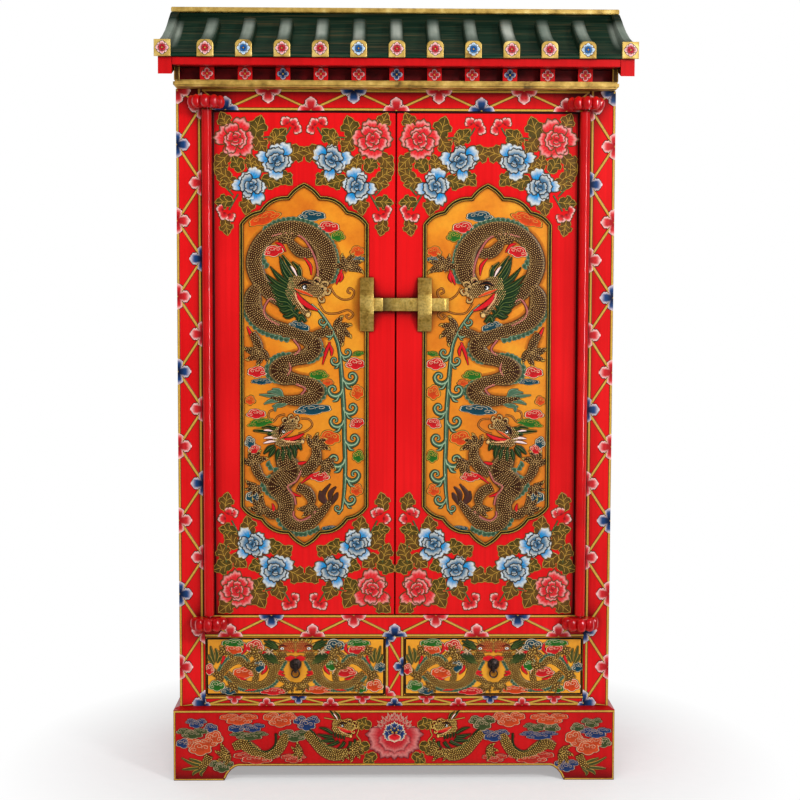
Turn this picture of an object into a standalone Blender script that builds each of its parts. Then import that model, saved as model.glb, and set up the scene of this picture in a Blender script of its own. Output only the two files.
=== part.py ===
"""Pagoda armoire: a lacquered cabinet with a tiled roof, two doors on round posts and two drawers.

Units are metres, +Z is up and the doors face -Y. The origin is on the floor, under the middle of
the whole armoire. Sizes across are written x, heights z, and u is the distance forward of the face
frame's front plane, so the part of the case behind the frame has a negative u.
"""
import math

import bmesh
import bpy
from mathutils import Matrix, Vector

# Clearances
FIT = 0.0003               # between two pieces that touch
DOOR_GAP = 0.0012          # round a door or a drawer front in its opening
MEETING_GAP = 0.0030       # between the two doors
DRAWER_PLAY = 0.0030       # beside a drawer box in its guides

# Case and face frame
BODY_WIDTH = 1.0520
BODY_DEPTH = 0.5000
FRAME_THICK = 0.0220
SIDE_THICK = 0.0200
BACK_THICK = 0.0120
BOARD_THICK = 0.0180
STILE_WIDTH = 0.0625
DIVIDER_WIDTH = 0.0432
EDGE_ROUND = 0.0012        # eased edges of the lacquered boards

# Heights, from the floor up
PLINTH_HEIGHT = 0.1815
BOTTOM_RAIL_HEIGHT = 0.0237
DRAWER_OPENING_HEIGHT = 0.1480
MIDDLE_RAIL_HEIGHT = 0.0535
DOOR_OPENING_HEIGHT = 1.2205
TOP_RAIL_HEIGHT = 0.0495
CORNICE_HEIGHT = 0.0160
FRIEZE_HEIGHT = 0.0295
EAVE_HEIGHT = 0.0187
ROOF_RISE = 0.1463
RIDGE_TRIM_HEIGHT = 0.0128

# Plinth
PLINTH_FRONT_LEDGE = 0.0170
PLINTH_SIDE_LEDGE = 0.0140
PLINTH_BEVEL = 0.0065
PLINTH_THICK = 0.0250
FOOT_LENGTH = 0.1240
FOOT_ARCH = 0.0370
FOOT_CURVE = 0.0330

# Doors
POST_RADIUS = 0.0125
POST_INSET = 0.0115        # post axis in from the edge of the stile
POST_STAND = 0.0100        # post axis ahead of the frame
PIN_RADIUS = 0.0060
PIN_LENGTH = 0.0180
BORE_PLAY = 0.0006
SOCKET_RADIUS = 0.0465
SOCKET_HEIGHT = 0.0330
SOCKET_LOBES = 10
SOCKET_GROOVE = 0.14       # depth of the grooves between the beads, share of the radius
SOCKET_SWELL = ((0.0, 0.80), (0.26, 1.0), (0.74, 1.0), (1.0, 0.80))    # share of the height, of the radius
PANEL_MARGIN = 0.0635
PANEL_TOP_MARGIN = 0.1710
PANEL_FOOT_MARGIN = 0.1680
PANEL_THICK = 0.0120
PANEL_RECESS = 0.0020
CUSP_INNER = (0.0400, 0.0320)
CUSP_OUTER = (0.1060, 0.0660)
CUSP_SHOULDER = 0.0990
CUSP_BULGES = (0.08, 0.145, 0.12)    # apex, middle and shoulder arcs, height over chord
RIM_WIDTH = 0.0095
RIM_HEIGHT = 0.0030

# Latch
LATCH_RISE = 0.7585        # bolt centre above the foot of the door opening
KEEPER_WIDTH = 0.0335
KEEPER_LENGTH = 0.1290
KEEPER_FLAT = 0.0475
KEEPER_STAND = 0.0215
KEEPER_THICK = 0.0050
KEEPER_FOOT = 0.0150       # part of the strap that lies on the door, at each end
BOLT_HEIGHT = 0.0310
BOLT_THICK = 0.0050
BOLT_STEP = 0.0030
BOLT_STEP_X = -0.0320
BOLT_RAMP_X = 0.0040
BOLT_LEFT = -0.0860
BOLT_RIGHT = 0.1280
BOLT_CURL = 0.0100
BOLT_CURL_BEND = 0.0060    # inner corner of the curl behind the bolt's front

# Drawers and pulls
FRONT_THICK = 0.0200
DRAWER_WALL = 0.0120
DRAWER_BOTTOM = 0.0060
DRAWER_BACK_SPACE = 0.0330  # behind a shut drawer
DRAWER_SIDE_HEIGHT = 0.1200
GUIDE_HEIGHT = 0.0300
PULL_RISE = 0.0060         # pull above the middle of the drawer front
BOSS_RADIUS = 0.0145
BOSS_HEIGHT = 0.0105
LUG_WIDTH = 0.0060
LUG_DROP = 0.0125          # ring axis below the boss centre
LUG_STAND = 0.0085         # ring axis ahead of the drawer front
LUG_HOLE = 0.0034
LUG_WALL = 0.0026
RING_RADIUS = 0.0095
RING_WIRE = 0.0020

# Shelf and hanging rail
SHELF_RISE = 1.0000
SHELF_SETBACK = 0.0600
HANGING_RADIUS = 0.0125
HANGING_DROP = 0.0500

# Roof
EAVE_REACH = 0.0816        # tile caps ahead of the frame
CAP_THICK = 0.0066
CAP_SIZE = 0.0390
CAP_ROUND = 0.0120
CAP_LATH = 0.0060
EAVE_BACK = 0.0350
GABLE_OVERHANG = 0.0315    # gable face beyond the body side
GABLE_DROP = 0.0210
GABLE_WALL = 0.0120        # wall behind the gable board, over the side of the frieze
ROOF_BOARD = 0.0100
RIDGE_SETBACK = 0.1650
RIDGE_TRIM_DEPTH = 0.0240
RIDGE_TRIM_LAP = 0.0070
SWEEP_BACK = 0.1500        # corner of the roof curve behind the eave
SWEEP_RISE = 0.0450        # and above it
RIB_COUNT = 13
RIB_WIDTH = 0.0340
RIB_HEIGHT = 0.0285
RIB_SHAPE = ((-1.0, 0.0), (-1.0, 0.70), (-0.80, 0.94), (0.0, 1.0), (0.80, 0.94), (1.0, 0.70), (1.0, 0.0))
END_RIB_INSET = 0.0109
END_RIB_STEP = 0.0996
CORNICE_REACH = 0.0450
CORNICE_LEDGE = 0.0010     # cornice beyond the body side
FRIEZE_SETBACK = 0.0010    # frieze inside the body side
CORNICE_ROUND = 0.0040
FRIEZE_REACH = 0.0390
FRIEZE_RECESS = 0.0270
FRIEZE_THICK = 0.0200
FRIEZE_END = 0.0136
RAFTER_WIDTH = 0.0340
RAFTER_LATH = 0.0060

# Levels and lines worked out from the sizes above
Z_DRAWER = PLINTH_HEIGHT + BOTTOM_RAIL_HEIGHT
Z_MIDDLE = Z_DRAWER + DRAWER_OPENING_HEIGHT
Z_DOOR = Z_MIDDLE + MIDDLE_RAIL_HEIGHT
Z_TOP = Z_DOOR + DOOR_OPENING_HEIGHT
Z_CORNICE = Z_TOP + TOP_RAIL_HEIGHT
Z_FRIEZE = Z_CORNICE + CORNICE_HEIGHT
Z_EAVE = Z_FRIEZE + FRIEZE_HEIGHT
Z_ROOF = Z_EAVE + EAVE_HEIGHT
Z_RIDGE = Z_ROOF + ROOF_RISE
Z_SUMMIT = Z_RIDGE + RIDGE_TRIM_HEIGHT
FRONT_Y = (EAVE_REACH - BODY_DEPTH) / 2
HALF = BODY_WIDTH / 2
OPENING_HALF = HALF - STILE_WIDTH
INNER_HALF = HALF - SIDE_THICK
DIVIDER_HALF = DIVIDER_WIDTH / 2
BACK_U = -BODY_DEPTH
INSIDE_BACK_U = BACK_U + BACK_THICK
INSIDE_FRONT_U = -FRAME_THICK
DOOR_EDGE = OPENING_HALF - DOOR_GAP
MEETING_EDGE = MEETING_GAP / 2
DOOR_FOOT = Z_DOOR + DOOR_GAP
DOOR_HEAD = Z_TOP - DOOR_GAP
POST_X = OPENING_HALF - POST_INSET
PANEL_X = (POST_X - POST_RADIUS + MEETING_EDGE) / 2
PANEL_HALF = (POST_X - POST_RADIUS - MEETING_EDGE) / 2 - PANEL_MARGIN
PANEL_TOP = Z_TOP - PANEL_TOP_MARGIN
PANEL_FOOT = Z_DOOR + PANEL_FOOT_MARGIN
KEEPER_X = PANEL_X - PANEL_HALF + RIM_WIDTH / 2
LATCH_Z = Z_DOOR + LATCH_RISE
BOLT_FRONT_U = KEEPER_STAND - KEEPER_THICK - FIT
PULL_X = (DIVIDER_HALF + OPENING_HALF) / 2
PULL_Z = (Z_DRAWER + Z_MIDDLE) / 2 + PULL_RISE
ROOF_HALF = HALF + GABLE_OVERHANG
GABLE_INNER = HALF - FRIEZE_SETBACK + FIT
ROOF_FRONT_U = EAVE_REACH - CAP_THICK
END_RIB_X = ROOF_HALF - END_RIB_INSET
RIB_PITCH = (END_RIB_X - END_RIB_STEP) / ((RIB_COUNT - 3) // 2)
SHELF_Z = Z_DOOR + SHELF_RISE

# Stations up the roof curve: share of the way to the ridge, then the share of their full height that
# the inner ribs and the two end ribs have there
ROOF_STATIONS = ((0.0, 1.0, 1.0), (0.2, 1.0, 1.0), (0.4, 1.0, 1.0), (0.6, 1.0, 1.0), (0.7, 1.0, 1.0),
                 (0.76, 0.0, 0.9), (0.88, 0.0, 0.66), (1.0, 0.0, 0.0))


def at(x, u, z):
    """A point in the armoire's frame from its place across, forward of the frame, and up."""
    return Vector((x, FRONT_Y - u, z))


def finish(name, colour, roughness, metallic=0.0):
    material = bpy.data.materials.new(name)
    material.use_nodes = True
    shader = material.node_tree.nodes["Principled BSDF"]
    shader.inputs["Base Color"].default_value = (*colour, 1.0)
    shader.inputs["Roughness"].default_value = roughness
    shader.inputs["Metallic"].default_value = metallic
    return material


def body(name, origin=(0.0, 0.0, 0.0)):
    """An empty that carries one rigid group; a moving group's empty lies on its joint's axis."""
    empty = bpy.data.objects.new(name, None)
    empty.location = origin
    bpy.context.collection.objects.link(empty)
    return empty


def add(name, bm, material, carrier, centre=None, smooth_angle=None):
    """Make an object from a mesh drawn in the armoire's frame, carried by a body's empty."""
    place = Vector(centre) if centre is not None else Vector(carrier.location)
    bmesh.ops.recalc_face_normals(bm, faces=bm.faces)
    bmesh.ops.translate(bm, verts=bm.verts, vec=-place)
    mesh = bpy.data.meshes.new(name)
    bm.to_mesh(mesh)
    bm.free()
    mesh.materials.append(material)
    if smooth_angle is not None:
        mesh.shade_smooth()
        mesh.set_sharp_from_angle(angle=math.radians(smooth_angle))
    piece = bpy.data.objects.new(name, mesh)
    piece.parent = carrier
    piece.location = place - Vector(carrier.location)
    bpy.context.collection.objects.link(piece)
    return piece


def soften(bm, width, segments=1):
    """Ease every sharp edge."""
    sharp = [e for e in bm.edges if e.calc_face_angle(0.0) > math.radians(40)]
    bmesh.ops.bevel(bm, geom=sharp, offset=width, segments=segments, affect="EDGES", clamp_overlap=True)


def box(x, u, z):
    """A box between two places across, two forward and two up."""
    bm = bmesh.new()
    low = at(x[0], u[1], z[0])
    high = at(x[1], u[0], z[1])
    size = high - low
    bmesh.ops.create_cube(bm, size=1.0)
    bmesh.ops.scale(bm, verts=bm.verts, vec=size)
    bmesh.ops.translate(bm, verts=bm.verts, vec=(low + high) / 2)
    return bm


def board(name, x, u, z, material, carrier, ease=EDGE_ROUND):
    """A flat board placed by its centre, with eased edges."""
    bm = box(x, u, z)
    if ease:
        soften(bm, ease)
    centre = (at(x[0], u[0], z[0]) + at(x[1], u[1], z[1])) / 2
    return add(name, bm, material, carrier, centre)


def prism(outline, along, low, high):
    """Extrude an outline along x (points are u, z), along u (x, z) or along z (x, u)."""
    placing = {
        "x": lambda p, d: at(d, p[0], p[1]),
        "u": lambda p, d: at(p[0], d, p[1]),
        "z": lambda p, d: at(p[0], p[1], d),
    }[along]
    bm = bmesh.new()
    face = bm.faces.new([bm.verts.new(placing(p, low)) for p in outline])
    grown = bmesh.ops.extrude_face_region(bm, geom=[face])
    tips = [v for v in grown["geom"] if isinstance(v, bmesh.types.BMVert)]
    start = placing(outline[0], low)
    bmesh.ops.translate(bm, verts=tips, vec=placing(outline[0], high) - start)
    return bm


def loft(rings):
    """Join closed rings of equal count into a solid with flat ends."""
    bm = bmesh.new()
    loops = [[bm.verts.new(p) for p in ring] for ring in rings]
    count = len(loops[0])
    for lower, upper in zip(loops, loops[1:]):
        for i in range(count):
            j = (i + 1) % count
            bm.faces.new((lower[i], lower[j], upper[j], upper[i]))
    bm.faces.new(loops[0])
    bm.faces.new(loops[-1])
    return bm


def rod(radius, start, end, sides):
    """A round rod between two points."""
    bm = bmesh.new()
    bmesh.ops.create_cone(bm, cap_ends=True, segments=sides, radius1=radius, radius2=radius,
                          depth=(end - start).length)
    turn = Vector((0, 0, 1)).rotation_difference(end - start).to_matrix()
    bmesh.ops.rotate(bm, verts=bm.verts, matrix=turn)
    bmesh.ops.translate(bm, verts=bm.verts, vec=(start + end) / 2)
    return bm


def combine(piece, bm, operation):
    """Cut a hidden tool shape from a piece, or weld it on."""
    tool = add(piece.name + "_" + operation.lower(), bm, piece.data.materials[0], piece.parent)
    tool.hide_render = True
    tool.display_type = "WIRE"
    modifier = piece.modifiers.new(operation.title(), "BOOLEAN")
    modifier.operation = operation
    modifier.object = tool


def arc(start, end, bulge, steps):
    """Points from start up to, not including, end on a circle that swells left of the line by its bulge."""
    chord = Vector(end) - Vector(start)
    if bulge == 0:
        return [tuple(start)]
    half_angle = 2 * math.atan(2 * bulge)
    radius = chord.length / (2 * math.sin(half_angle))
    left = Vector((-chord.y, chord.x)).normalized()
    centre = (Vector(start) + Vector(end)) / 2 - left * radius * math.cos(half_angle)
    points = []
    for i in range(steps):
        turn = half_angle * (1 - 2 * i / steps)
        spoke = left * math.cos(turn) - chord.normalized() * math.sin(turn)
        points.append(tuple(centre + radius * spoke))
    return points


def cusped_outline(middle, steps=5):
    """The door panel's outline: straight sides between two cusped, pointed ends."""
    drop = ((0.0, 0.0), CUSP_INNER, CUSP_OUTER, (PANEL_HALF, CUSP_SHOULDER))
    corners = [(middle + x, PANEL_TOP - z) for x, z in drop]
    corners += [(middle + x, PANEL_FOOT + z) for x, z in reversed(drop)]
    corners += [(middle - x, PANEL_FOOT + z) for x, z in drop[1:]]
    corners += [(middle - x, PANEL_TOP - z) for x, z in reversed(drop[1:])]
    bulges = CUSP_BULGES + (0.0,) + CUSP_BULGES[::-1] + CUSP_BULGES + (0.0,) + CUSP_BULGES[::-1]
    points = []
    for start, end, bulge in zip(corners, corners[1:] + corners[:1], bulges):
        points += arc(start, end, bulge, steps)
    return points


def inset(outline, distance):
    """Move a clockwise outline inwards, each corner along its mitre."""
    moved = []
    for i, point in enumerate(outline):
        here = Vector(point)
        before = (here - Vector(outline[i - 1])).normalized()
        after = (Vector(outline[(i + 1) % len(outline)]) - here).normalized()
        normals = [Vector((d.y, -d.x)) for d in (before, after)]
        mitre = (normals[0] + normals[1]).normalized()
        moved.append(tuple(here + mitre * distance / mitre.dot(normals[0])))
    return moved


def foot_outline(half_length, heights):
    """A plinth board seen square on, with bracket feet and the two upper corner heights given."""
    foot = half_length - FOOT_LENGTH
    start = (-foot, 0.0)
    end = (-foot + FOOT_CURVE, FOOT_ARCH)
    curve = [(end[0] - FOOT_CURVE * math.cos(a), FOOT_ARCH * math.sin(a))
             for a in (math.radians(18 * k) for k in range(1, 5))]
    left = [start] + curve + [end]
    right = [(-x, z) for x, z in reversed(left)]
    return left + right + [(half_length, 0.0)] + heights + [(-half_length, 0.0)]


def plinth_board(name, half_length, ledge, place, depths, material, carrier):
    """A plinth board whose upper outer edge slopes back to the case along its front and both ends."""
    edge = PLINTH_HEIGHT - PLINTH_BEVEL
    rings = []
    for depth, top in zip(depths, (edge, PLINTH_HEIGHT, PLINTH_HEIGHT)):
        heights = [(half_length, edge), (half_length - ledge, top)]
        heights += [(-x, z) for x, z in reversed(heights)]
        rings.append([place(along, depth, z) for along, z in foot_outline(half_length, heights)])
    return add(name, loft(rings), material, carrier)


def build_plinth(red, carrier):
    outer = HALF + PLINTH_SIDE_LEDGE
    front = PLINTH_FRONT_LEDGE
    depths = (front, 0.0, front - PLINTH_THICK)
    plinth_board("plinth_front", outer, PLINTH_SIDE_LEDGE, at, depths, red, carrier)
    rear = BACK_U + PLINTH_THICK
    heights = [(outer, PLINTH_HEIGHT - PLINTH_BEVEL), (HALF, PLINTH_HEIGHT)]
    heights += [(-x, z) for x, z in reversed(heights)]
    add("plinth_back", prism(foot_outline(outer, heights), "u", BACK_U, rear), red, carrier)
    near = front - PLINTH_THICK - FIT
    far = rear + FIT
    middle = (near + far) / 2
    for name, side in (("plinth_left", -1), ("plinth_right", 1)):
        across = (outer, HALF, outer - PLINTH_THICK)
        plinth_board(name, (near - far) / 2, FIT, lambda along, x, z: at(side * x, middle + along, z),
                     across, red, carrier)


def build_case(red, wood, carrier):
    low = PLINTH_HEIGHT + FIT
    inside = (-INNER_HALF + FIT, INNER_HALF - FIT)
    depth = (INSIDE_BACK_U + FIT, INSIDE_FRONT_U - FIT)
    board("left_side", (-HALF, -INNER_HALF), depth, (low, Z_CORNICE), red, carrier)
    board("right_side", (INNER_HALF, HALF), depth, (low, Z_CORNICE), red, carrier)
    board("back_panel", (-HALF, HALF), (BACK_U, INSIDE_BACK_U), (low, Z_CORNICE), wood, carrier)
    board("bottom_board", inside, depth, (low, Z_DRAWER), wood, carrier, 0)
    board("cabinet_floor", inside, depth, (Z_DOOR - BOARD_THICK, Z_DOOR), wood, carrier, 0)
    shelf_depth = (depth[0], depth[1] - SHELF_SETBACK)
    board("shelf", inside, shelf_depth, (SHELF_Z, SHELF_Z + BOARD_THICK), wood, carrier)
    rail_u = (depth[0] + depth[1]) / 2
    rail_z = SHELF_Z - HANGING_DROP
    rail = rod(HANGING_RADIUS, at(inside[0], rail_u, rail_z), at(inside[1], rail_u, rail_z), 16)
    add("hanging_rail", rail, wood, carrier, smooth_angle=40)


def build_frame(red, carrier):
    depth = (-FRAME_THICK, 0.0)
    low = PLINTH_HEIGHT + FIT
    between = (-OPENING_HALF + FIT, OPENING_HALF - FIT)
    board("left_stile", (-HALF, -OPENING_HALF), depth, (low, Z_CORNICE), red, carrier)
    board("right_stile", (OPENING_HALF, HALF), depth, (low, Z_CORNICE), red, carrier)
    board("top_rail", between, depth, (Z_TOP, Z_CORNICE), red, carrier)
    board("middle_rail", between, depth, (Z_MIDDLE, Z_DOOR), red, carrier)
    board("bottom_rail", between, depth, (low, Z_DRAWER), red, carrier)
    upright = (Z_DRAWER + FIT, Z_MIDDLE - FIT)
    board("drawer_divider", (-DIVIDER_HALF, DIVIDER_HALF), depth, upright, red, carrier)


def build_guides(wood, carrier):
    depth = (INSIDE_BACK_U + FIT, INSIDE_FRONT_U - FIT)
    height = (Z_DRAWER + FIT, Z_DRAWER + FIT + GUIDE_HEIGHT)
    inner = DIVIDER_HALF
    outer = (OPENING_HALF, INNER_HALF - FIT)
    board("drawer_guide_left", (-outer[1], -outer[0]), depth, height, wood, carrier, 0)
    board("drawer_guide_centre", (-inner, inner), depth, height, wood, carrier, 0)
    board("drawer_guide_right", outer, depth, height, wood, carrier, 0)


def build_socket(name, side, low, mouth_up, red, carrier):
    """A half rosette of beads against the frame, with a blind bore for a door pin."""
    samples = SOCKET_LOBES * 4
    rings = []
    for share, scale in SOCKET_SWELL:
        ring = []
        for i in range(samples):
            angle = 2 * math.pi * i / samples
            lobe = abs(math.cos(angle * SOCKET_LOBES / 2))
            radius = SOCKET_RADIUS * scale * (1 - SOCKET_GROOVE * (1 - lobe))
            ring.append(at(side * POST_X + radius * math.sin(angle), POST_STAND + radius * math.cos(angle),
                           low + SOCKET_HEIGHT * share))
        rings.append(ring)
    bm = loft(rings)
    everything = list(bm.verts) + list(bm.edges) + list(bm.faces)
    cut = bmesh.ops.bisect_plane(bm, geom=everything, plane_co=at(0, FIT, 0), plane_no=(0, 1, 0),
                                 clear_outer=True)
    rim = [e for e in cut["geom_cut"] if isinstance(e, bmesh.types.BMEdge)]
    bmesh.ops.contextual_create(bm, geom=rim)
    piece = add(name, bm, red, carrier, at(side * POST_X, POST_STAND, low), smooth_angle=50)
    mouth = low + SOCKET_HEIGHT if mouth_up else low
    inward = -1 if mouth_up else 1
    ends = [at(side * POST_X, POST_STAND, mouth + inward * d) for d in (-PIN_RADIUS, PIN_LENGTH + FIT)]
    combine(piece, rod(PIN_RADIUS + BORE_PLAY, ends[0], ends[1], 12), "DIFFERENCE")


def build_sockets(red, carrier):
    for word, side in (("left", -1), ("right", 1)):
        build_socket(word + "_top_socket", side, Z_TOP, False, red, carrier)
        build_socket(word + "_bottom_socket", side, Z_DOOR - SOCKET_HEIGHT, True, red, carrier)


def build_post(name, side, red, carrier):
    """The round post, flat where it is fixed to the door board, with a pin at each end."""
    flat = math.acos((POST_STAND - FIT) / POST_RADIUS)
    span = 2 * (math.pi - flat)
    outline = []
    for i in range(17):
        angle = span * (i / 16 - 0.5)
        outline.append((side * POST_X + POST_RADIUS * math.sin(angle),
                        POST_STAND + POST_RADIUS * math.cos(angle)))
    piece = add(name, prism(outline, "z", DOOR_FOOT, DOOR_HEAD), red, carrier, smooth_angle=50)
    foot = at(side * POST_X, POST_STAND, DOOR_FOOT - PIN_LENGTH)
    head = at(side * POST_X, POST_STAND, DOOR_HEAD + PIN_LENGTH)
    combine(piece, rod(PIN_RADIUS, foot, head, 12), "UNION")


def build_keeper(name, side, brass, carrier):
    """A bent strap that bridges the bolt, notched over the panel's rim."""
    ends = KEEPER_LENGTH / 2
    flat = KEEPER_FLAT / 2
    inner_flat = BOLT_HEIGHT / 2 + FIT
    inner_end = ends - KEEPER_FOOT
    upper = [(FIT, ends), (KEEPER_THICK, ends), (KEEPER_STAND, flat)]
    lower = [(u, -z) for u, z in reversed(upper)]
    hollow = [(FIT, -inner_end), (KEEPER_STAND - KEEPER_THICK, -inner_flat)]
    hollow += [(u, -z) for u, z in reversed(hollow)]
    outline = [(u, LATCH_Z + z) for u, z in upper + lower + hollow]
    low = side * KEEPER_X - KEEPER_WIDTH / 2
    bm = prism(outline, "x", low, low + KEEPER_WIDTH)
    piece = add(name, bm, brass, carrier)
    reach = RIM_WIDTH / 2 + FIT
    notch = box((side * KEEPER_X - reach, side * KEEPER_X + reach), (-RIM_HEIGHT, RIM_HEIGHT + FIT),
                (LATCH_Z - KEEPER_LENGTH, LATCH_Z + KEEPER_LENGTH))
    combine(piece, notch, "DIFFERENCE")


def build_door(word, side, red, amber, rim_green, brass, carrier):
    edges = sorted((side * DOOR_EDGE, side * MEETING_EDGE))
    middle = side * PANEL_X
    outline = cusped_outline(middle)
    opening = inset(outline, RIM_WIDTH)
    build_post(word + "_door_post", side, red, carrier)
    plank = board(word + "_door_board", edges, (-FRAME_THICK, 0.0), (DOOR_FOOT, DOOR_HEAD), red, carrier)
    combine(plank, prism(opening, "u", -2 * FRAME_THICK, FRAME_THICK), "DIFFERENCE")
    panel = prism(inset(opening, FIT), "u", -PANEL_RECESS - PANEL_THICK, -PANEL_RECESS)
    add(word + "_door_panel", panel, amber, carrier)
    ease = RIM_WIDTH / 4
    profile = ((0.0, FIT), (0.0, RIM_HEIGHT / 2), (ease, RIM_HEIGHT), (RIM_WIDTH - ease, RIM_HEIGHT),
               (RIM_WIDTH, RIM_HEIGHT / 2), (RIM_WIDTH, FIT))
    rings = [[at(x, u, z) for x, z in inset(outline, d)] for d, u in profile]
    bm = bmesh.new()
    loops = [[bm.verts.new(p) for p in ring] for ring in rings]
    count = len(outline)
    for inner, outer in zip(loops, loops[1:] + loops[:1]):
        for i in range(count):
            j = (i + 1) % count
            bm.faces.new((inner[i], inner[j], outer[j], outer[i]))
    add(word + "_door_rim", bm, rim_green, carrier, smooth_angle=30)
    build_keeper(word + "_keeper", side, brass, carrier)


def build_bolt(brass, carrier):
    """The sliding bolt: a strip that dips between the doors and curls to the door at its right end."""
    front = BOLT_FRONT_U
    back = front - BOLT_THICK
    curl = BOLT_RIGHT - BOLT_CURL
    dip = BOLT_STEP_X + BOLT_STEP / 2
    outline = [
        (BOLT_LEFT, back), (BOLT_LEFT, front), (BOLT_STEP_X, front), (dip, front - BOLT_STEP),
        (BOLT_RAMP_X, front), (curl, front), (BOLT_RIGHT, front - BOLT_CURL / 2),
        (BOLT_RIGHT, front - BOLT_CURL), (BOLT_RIGHT - BOLT_THICK, front - BOLT_CURL),
        (BOLT_RIGHT - BOLT_THICK, front - BOLT_CURL_BEND), (curl - BOLT_THICK / 2, back),
        (BOLT_RAMP_X, back), (dip, back - BOLT_STEP), (BOLT_STEP_X - BOLT_STEP, back - BOLT_STEP),
        (BOLT_STEP_X - 2 * BOLT_STEP, back),
    ]
    bm = prism(outline, "z", LATCH_Z - BOLT_HEIGHT / 2, LATCH_Z + BOLT_HEIGHT / 2)
    add("bolt", bm, brass, carrier)


def build_drawer(word, side, amber, wood, carrier):
    """A drawer box behind its painted front."""
    inner = DIVIDER_HALF + DRAWER_PLAY
    outer = OPENING_HALF - DRAWER_PLAY
    front_x = sorted((side * (DIVIDER_HALF + DOOR_GAP), side * (OPENING_HALF - DOOR_GAP)))
    board(word + "_drawer_front", front_x, (-FRONT_THICK, 0.0), (Z_DRAWER + DOOR_GAP, Z_MIDDLE - DOOR_GAP),
          amber, carrier)
    near = -FRONT_THICK - FIT
    far = INSIDE_BACK_U + DRAWER_BACK_SPACE
    low = Z_DRAWER + FIT
    height = (low, low + DRAWER_SIDE_HEIGHT)
    for end, x in (("inner", inner), ("outer", outer - DRAWER_WALL)):
        across = sorted((side * x, side * (x + DRAWER_WALL)))
        board(word + "_drawer_" + end + "_side", across, (far, near), height, wood, carrier, 0)
    within = sorted((side * (inner + DRAWER_WALL + FIT), side * (outer - DRAWER_WALL - FIT)))
    board(word + "_drawer_back", within, (far, far + DRAWER_WALL), height, wood, carrier, 0)
    floor = (low + DRAWER_BOTTOM, low + 2 * DRAWER_BOTTOM)
    board(word + "_drawer_bottom", within, (far + DRAWER_WALL + FIT, near), floor, wood, carrier, 0)


def build_boss(word, side, iron, carrier):
    """A domed boss with a drilled lug below it that carries the ring."""
    bm = bmesh.new()
    brim = BOSS_HEIGHT / 4
    dome = [(0.0, FIT), (BOSS_RADIUS, FIT), (BOSS_RADIUS, brim)]
    for k in range(1, 4):
        angle = math.radians(22.5 * k)
        dome.append((BOSS_RADIUS * math.cos(angle), brim + (BOSS_HEIGHT - brim) * math.sin(angle)))
    dome.append((0.0, BOSS_HEIGHT))
    middle = at(side * PULL_X, 0.0, PULL_Z)
    chain = [bm.verts.new(middle + Vector((r, -u, 0.0))) for r, u in dome]
    edges = [bm.edges.new(pair) for pair in zip(chain, chain[1:])]
    bmesh.ops.spin(bm, geom=chain + edges, cent=middle, axis=(0, 1, 0), angle=2 * math.pi, steps=16)
    bmesh.ops.remove_doubles(bm, verts=bm.verts, dist=1e-6)
    piece = add(word + "_pull_boss", bm, iron, carrier, smooth_angle=50)
    axis_z = PULL_Z - LUG_DROP
    reach = LUG_HOLE + LUG_WALL
    half = LUG_WIDTH / 2
    across = (side * PULL_X - half, side * PULL_X + half)
    lug = box(across, (FIT, LUG_STAND + reach), (axis_z - reach, PULL_Z))
    combine(piece, lug, "UNION")
    left = at(side * PULL_X - LUG_WIDTH, LUG_STAND, axis_z)
    right = at(side * PULL_X + LUG_WIDTH, LUG_STAND, axis_z)
    combine(piece, rod(LUG_HOLE, left, right, 10), "DIFFERENCE")


def build_ring(word, side, iron, carrier):
    """The pull ring, hanging from its lug."""
    bm = bmesh.new()
    centre = at(side * PULL_X, LUG_STAND, PULL_Z - LUG_DROP - RING_RADIUS)
    wire = bmesh.ops.create_circle(bm, segments=8, radius=RING_WIRE,
                                   matrix=Matrix.Translation(centre + Vector((RING_RADIUS, 0, 0))))
    geometry = wire["verts"] + list(bm.edges)
    # The wire's circle lies level, so it is square to the ring where the sweep starts.
    bmesh.ops.spin(bm, geom=geometry, cent=centre, axis=(0, 1, 0), angle=2 * math.pi, steps=20,
                   use_merge=True)
    bmesh.ops.remove_doubles(bm, verts=bm.verts, dist=1e-6)
    add(word + "_pull_ring", bm, iron, carrier, smooth_angle=60)


def roof_curve(share):
    """The underside of the roof deck: a sweep that is shallow at the eave and steep at the ridge."""
    rest = 1 - share
    corners = ((ROOF_FRONT_U, Z_ROOF + FIT), (ROOF_FRONT_U - SWEEP_BACK, Z_ROOF + FIT + SWEEP_RISE),
               (-RIDGE_SETBACK, Z_RIDGE - ROOF_BOARD))
    weights = (rest * rest, 2 * rest * share, share * share)
    return tuple(sum(w * c[k] for w, c in zip(weights, corners)) for k in (0, 1))


def rib_centres():
    inner = [RIB_PITCH * k for k in range(-((RIB_COUNT - 3) // 2), (RIB_COUNT - 3) // 2 + 1)]
    return [-END_RIB_X] + inner + [END_RIB_X]


def build_roof_deck(green, carrier):
    """The curved deck with its tile ribs: only the two end ones run on to the ridge."""
    rings = []
    for share, inner_height, end_height in ROOF_STATIONS:
        u, z = roof_curve(share)
        ring = [at(ROOF_HALF, u, z), at(-ROOF_HALF, u, z)]
        for centre in rib_centres():
            half = min(RIB_WIDTH / 2, ROOF_HALF - abs(centre))
            height = end_height if abs(centre) == END_RIB_X else inner_height
            for across, up in RIB_SHAPE:
                ring.append(at(centre + half * across, u, z + ROOF_BOARD + RIB_HEIGHT * up * height))
        rings.append(ring)
    add("roof_deck", loft(rings), green, carrier)


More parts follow.
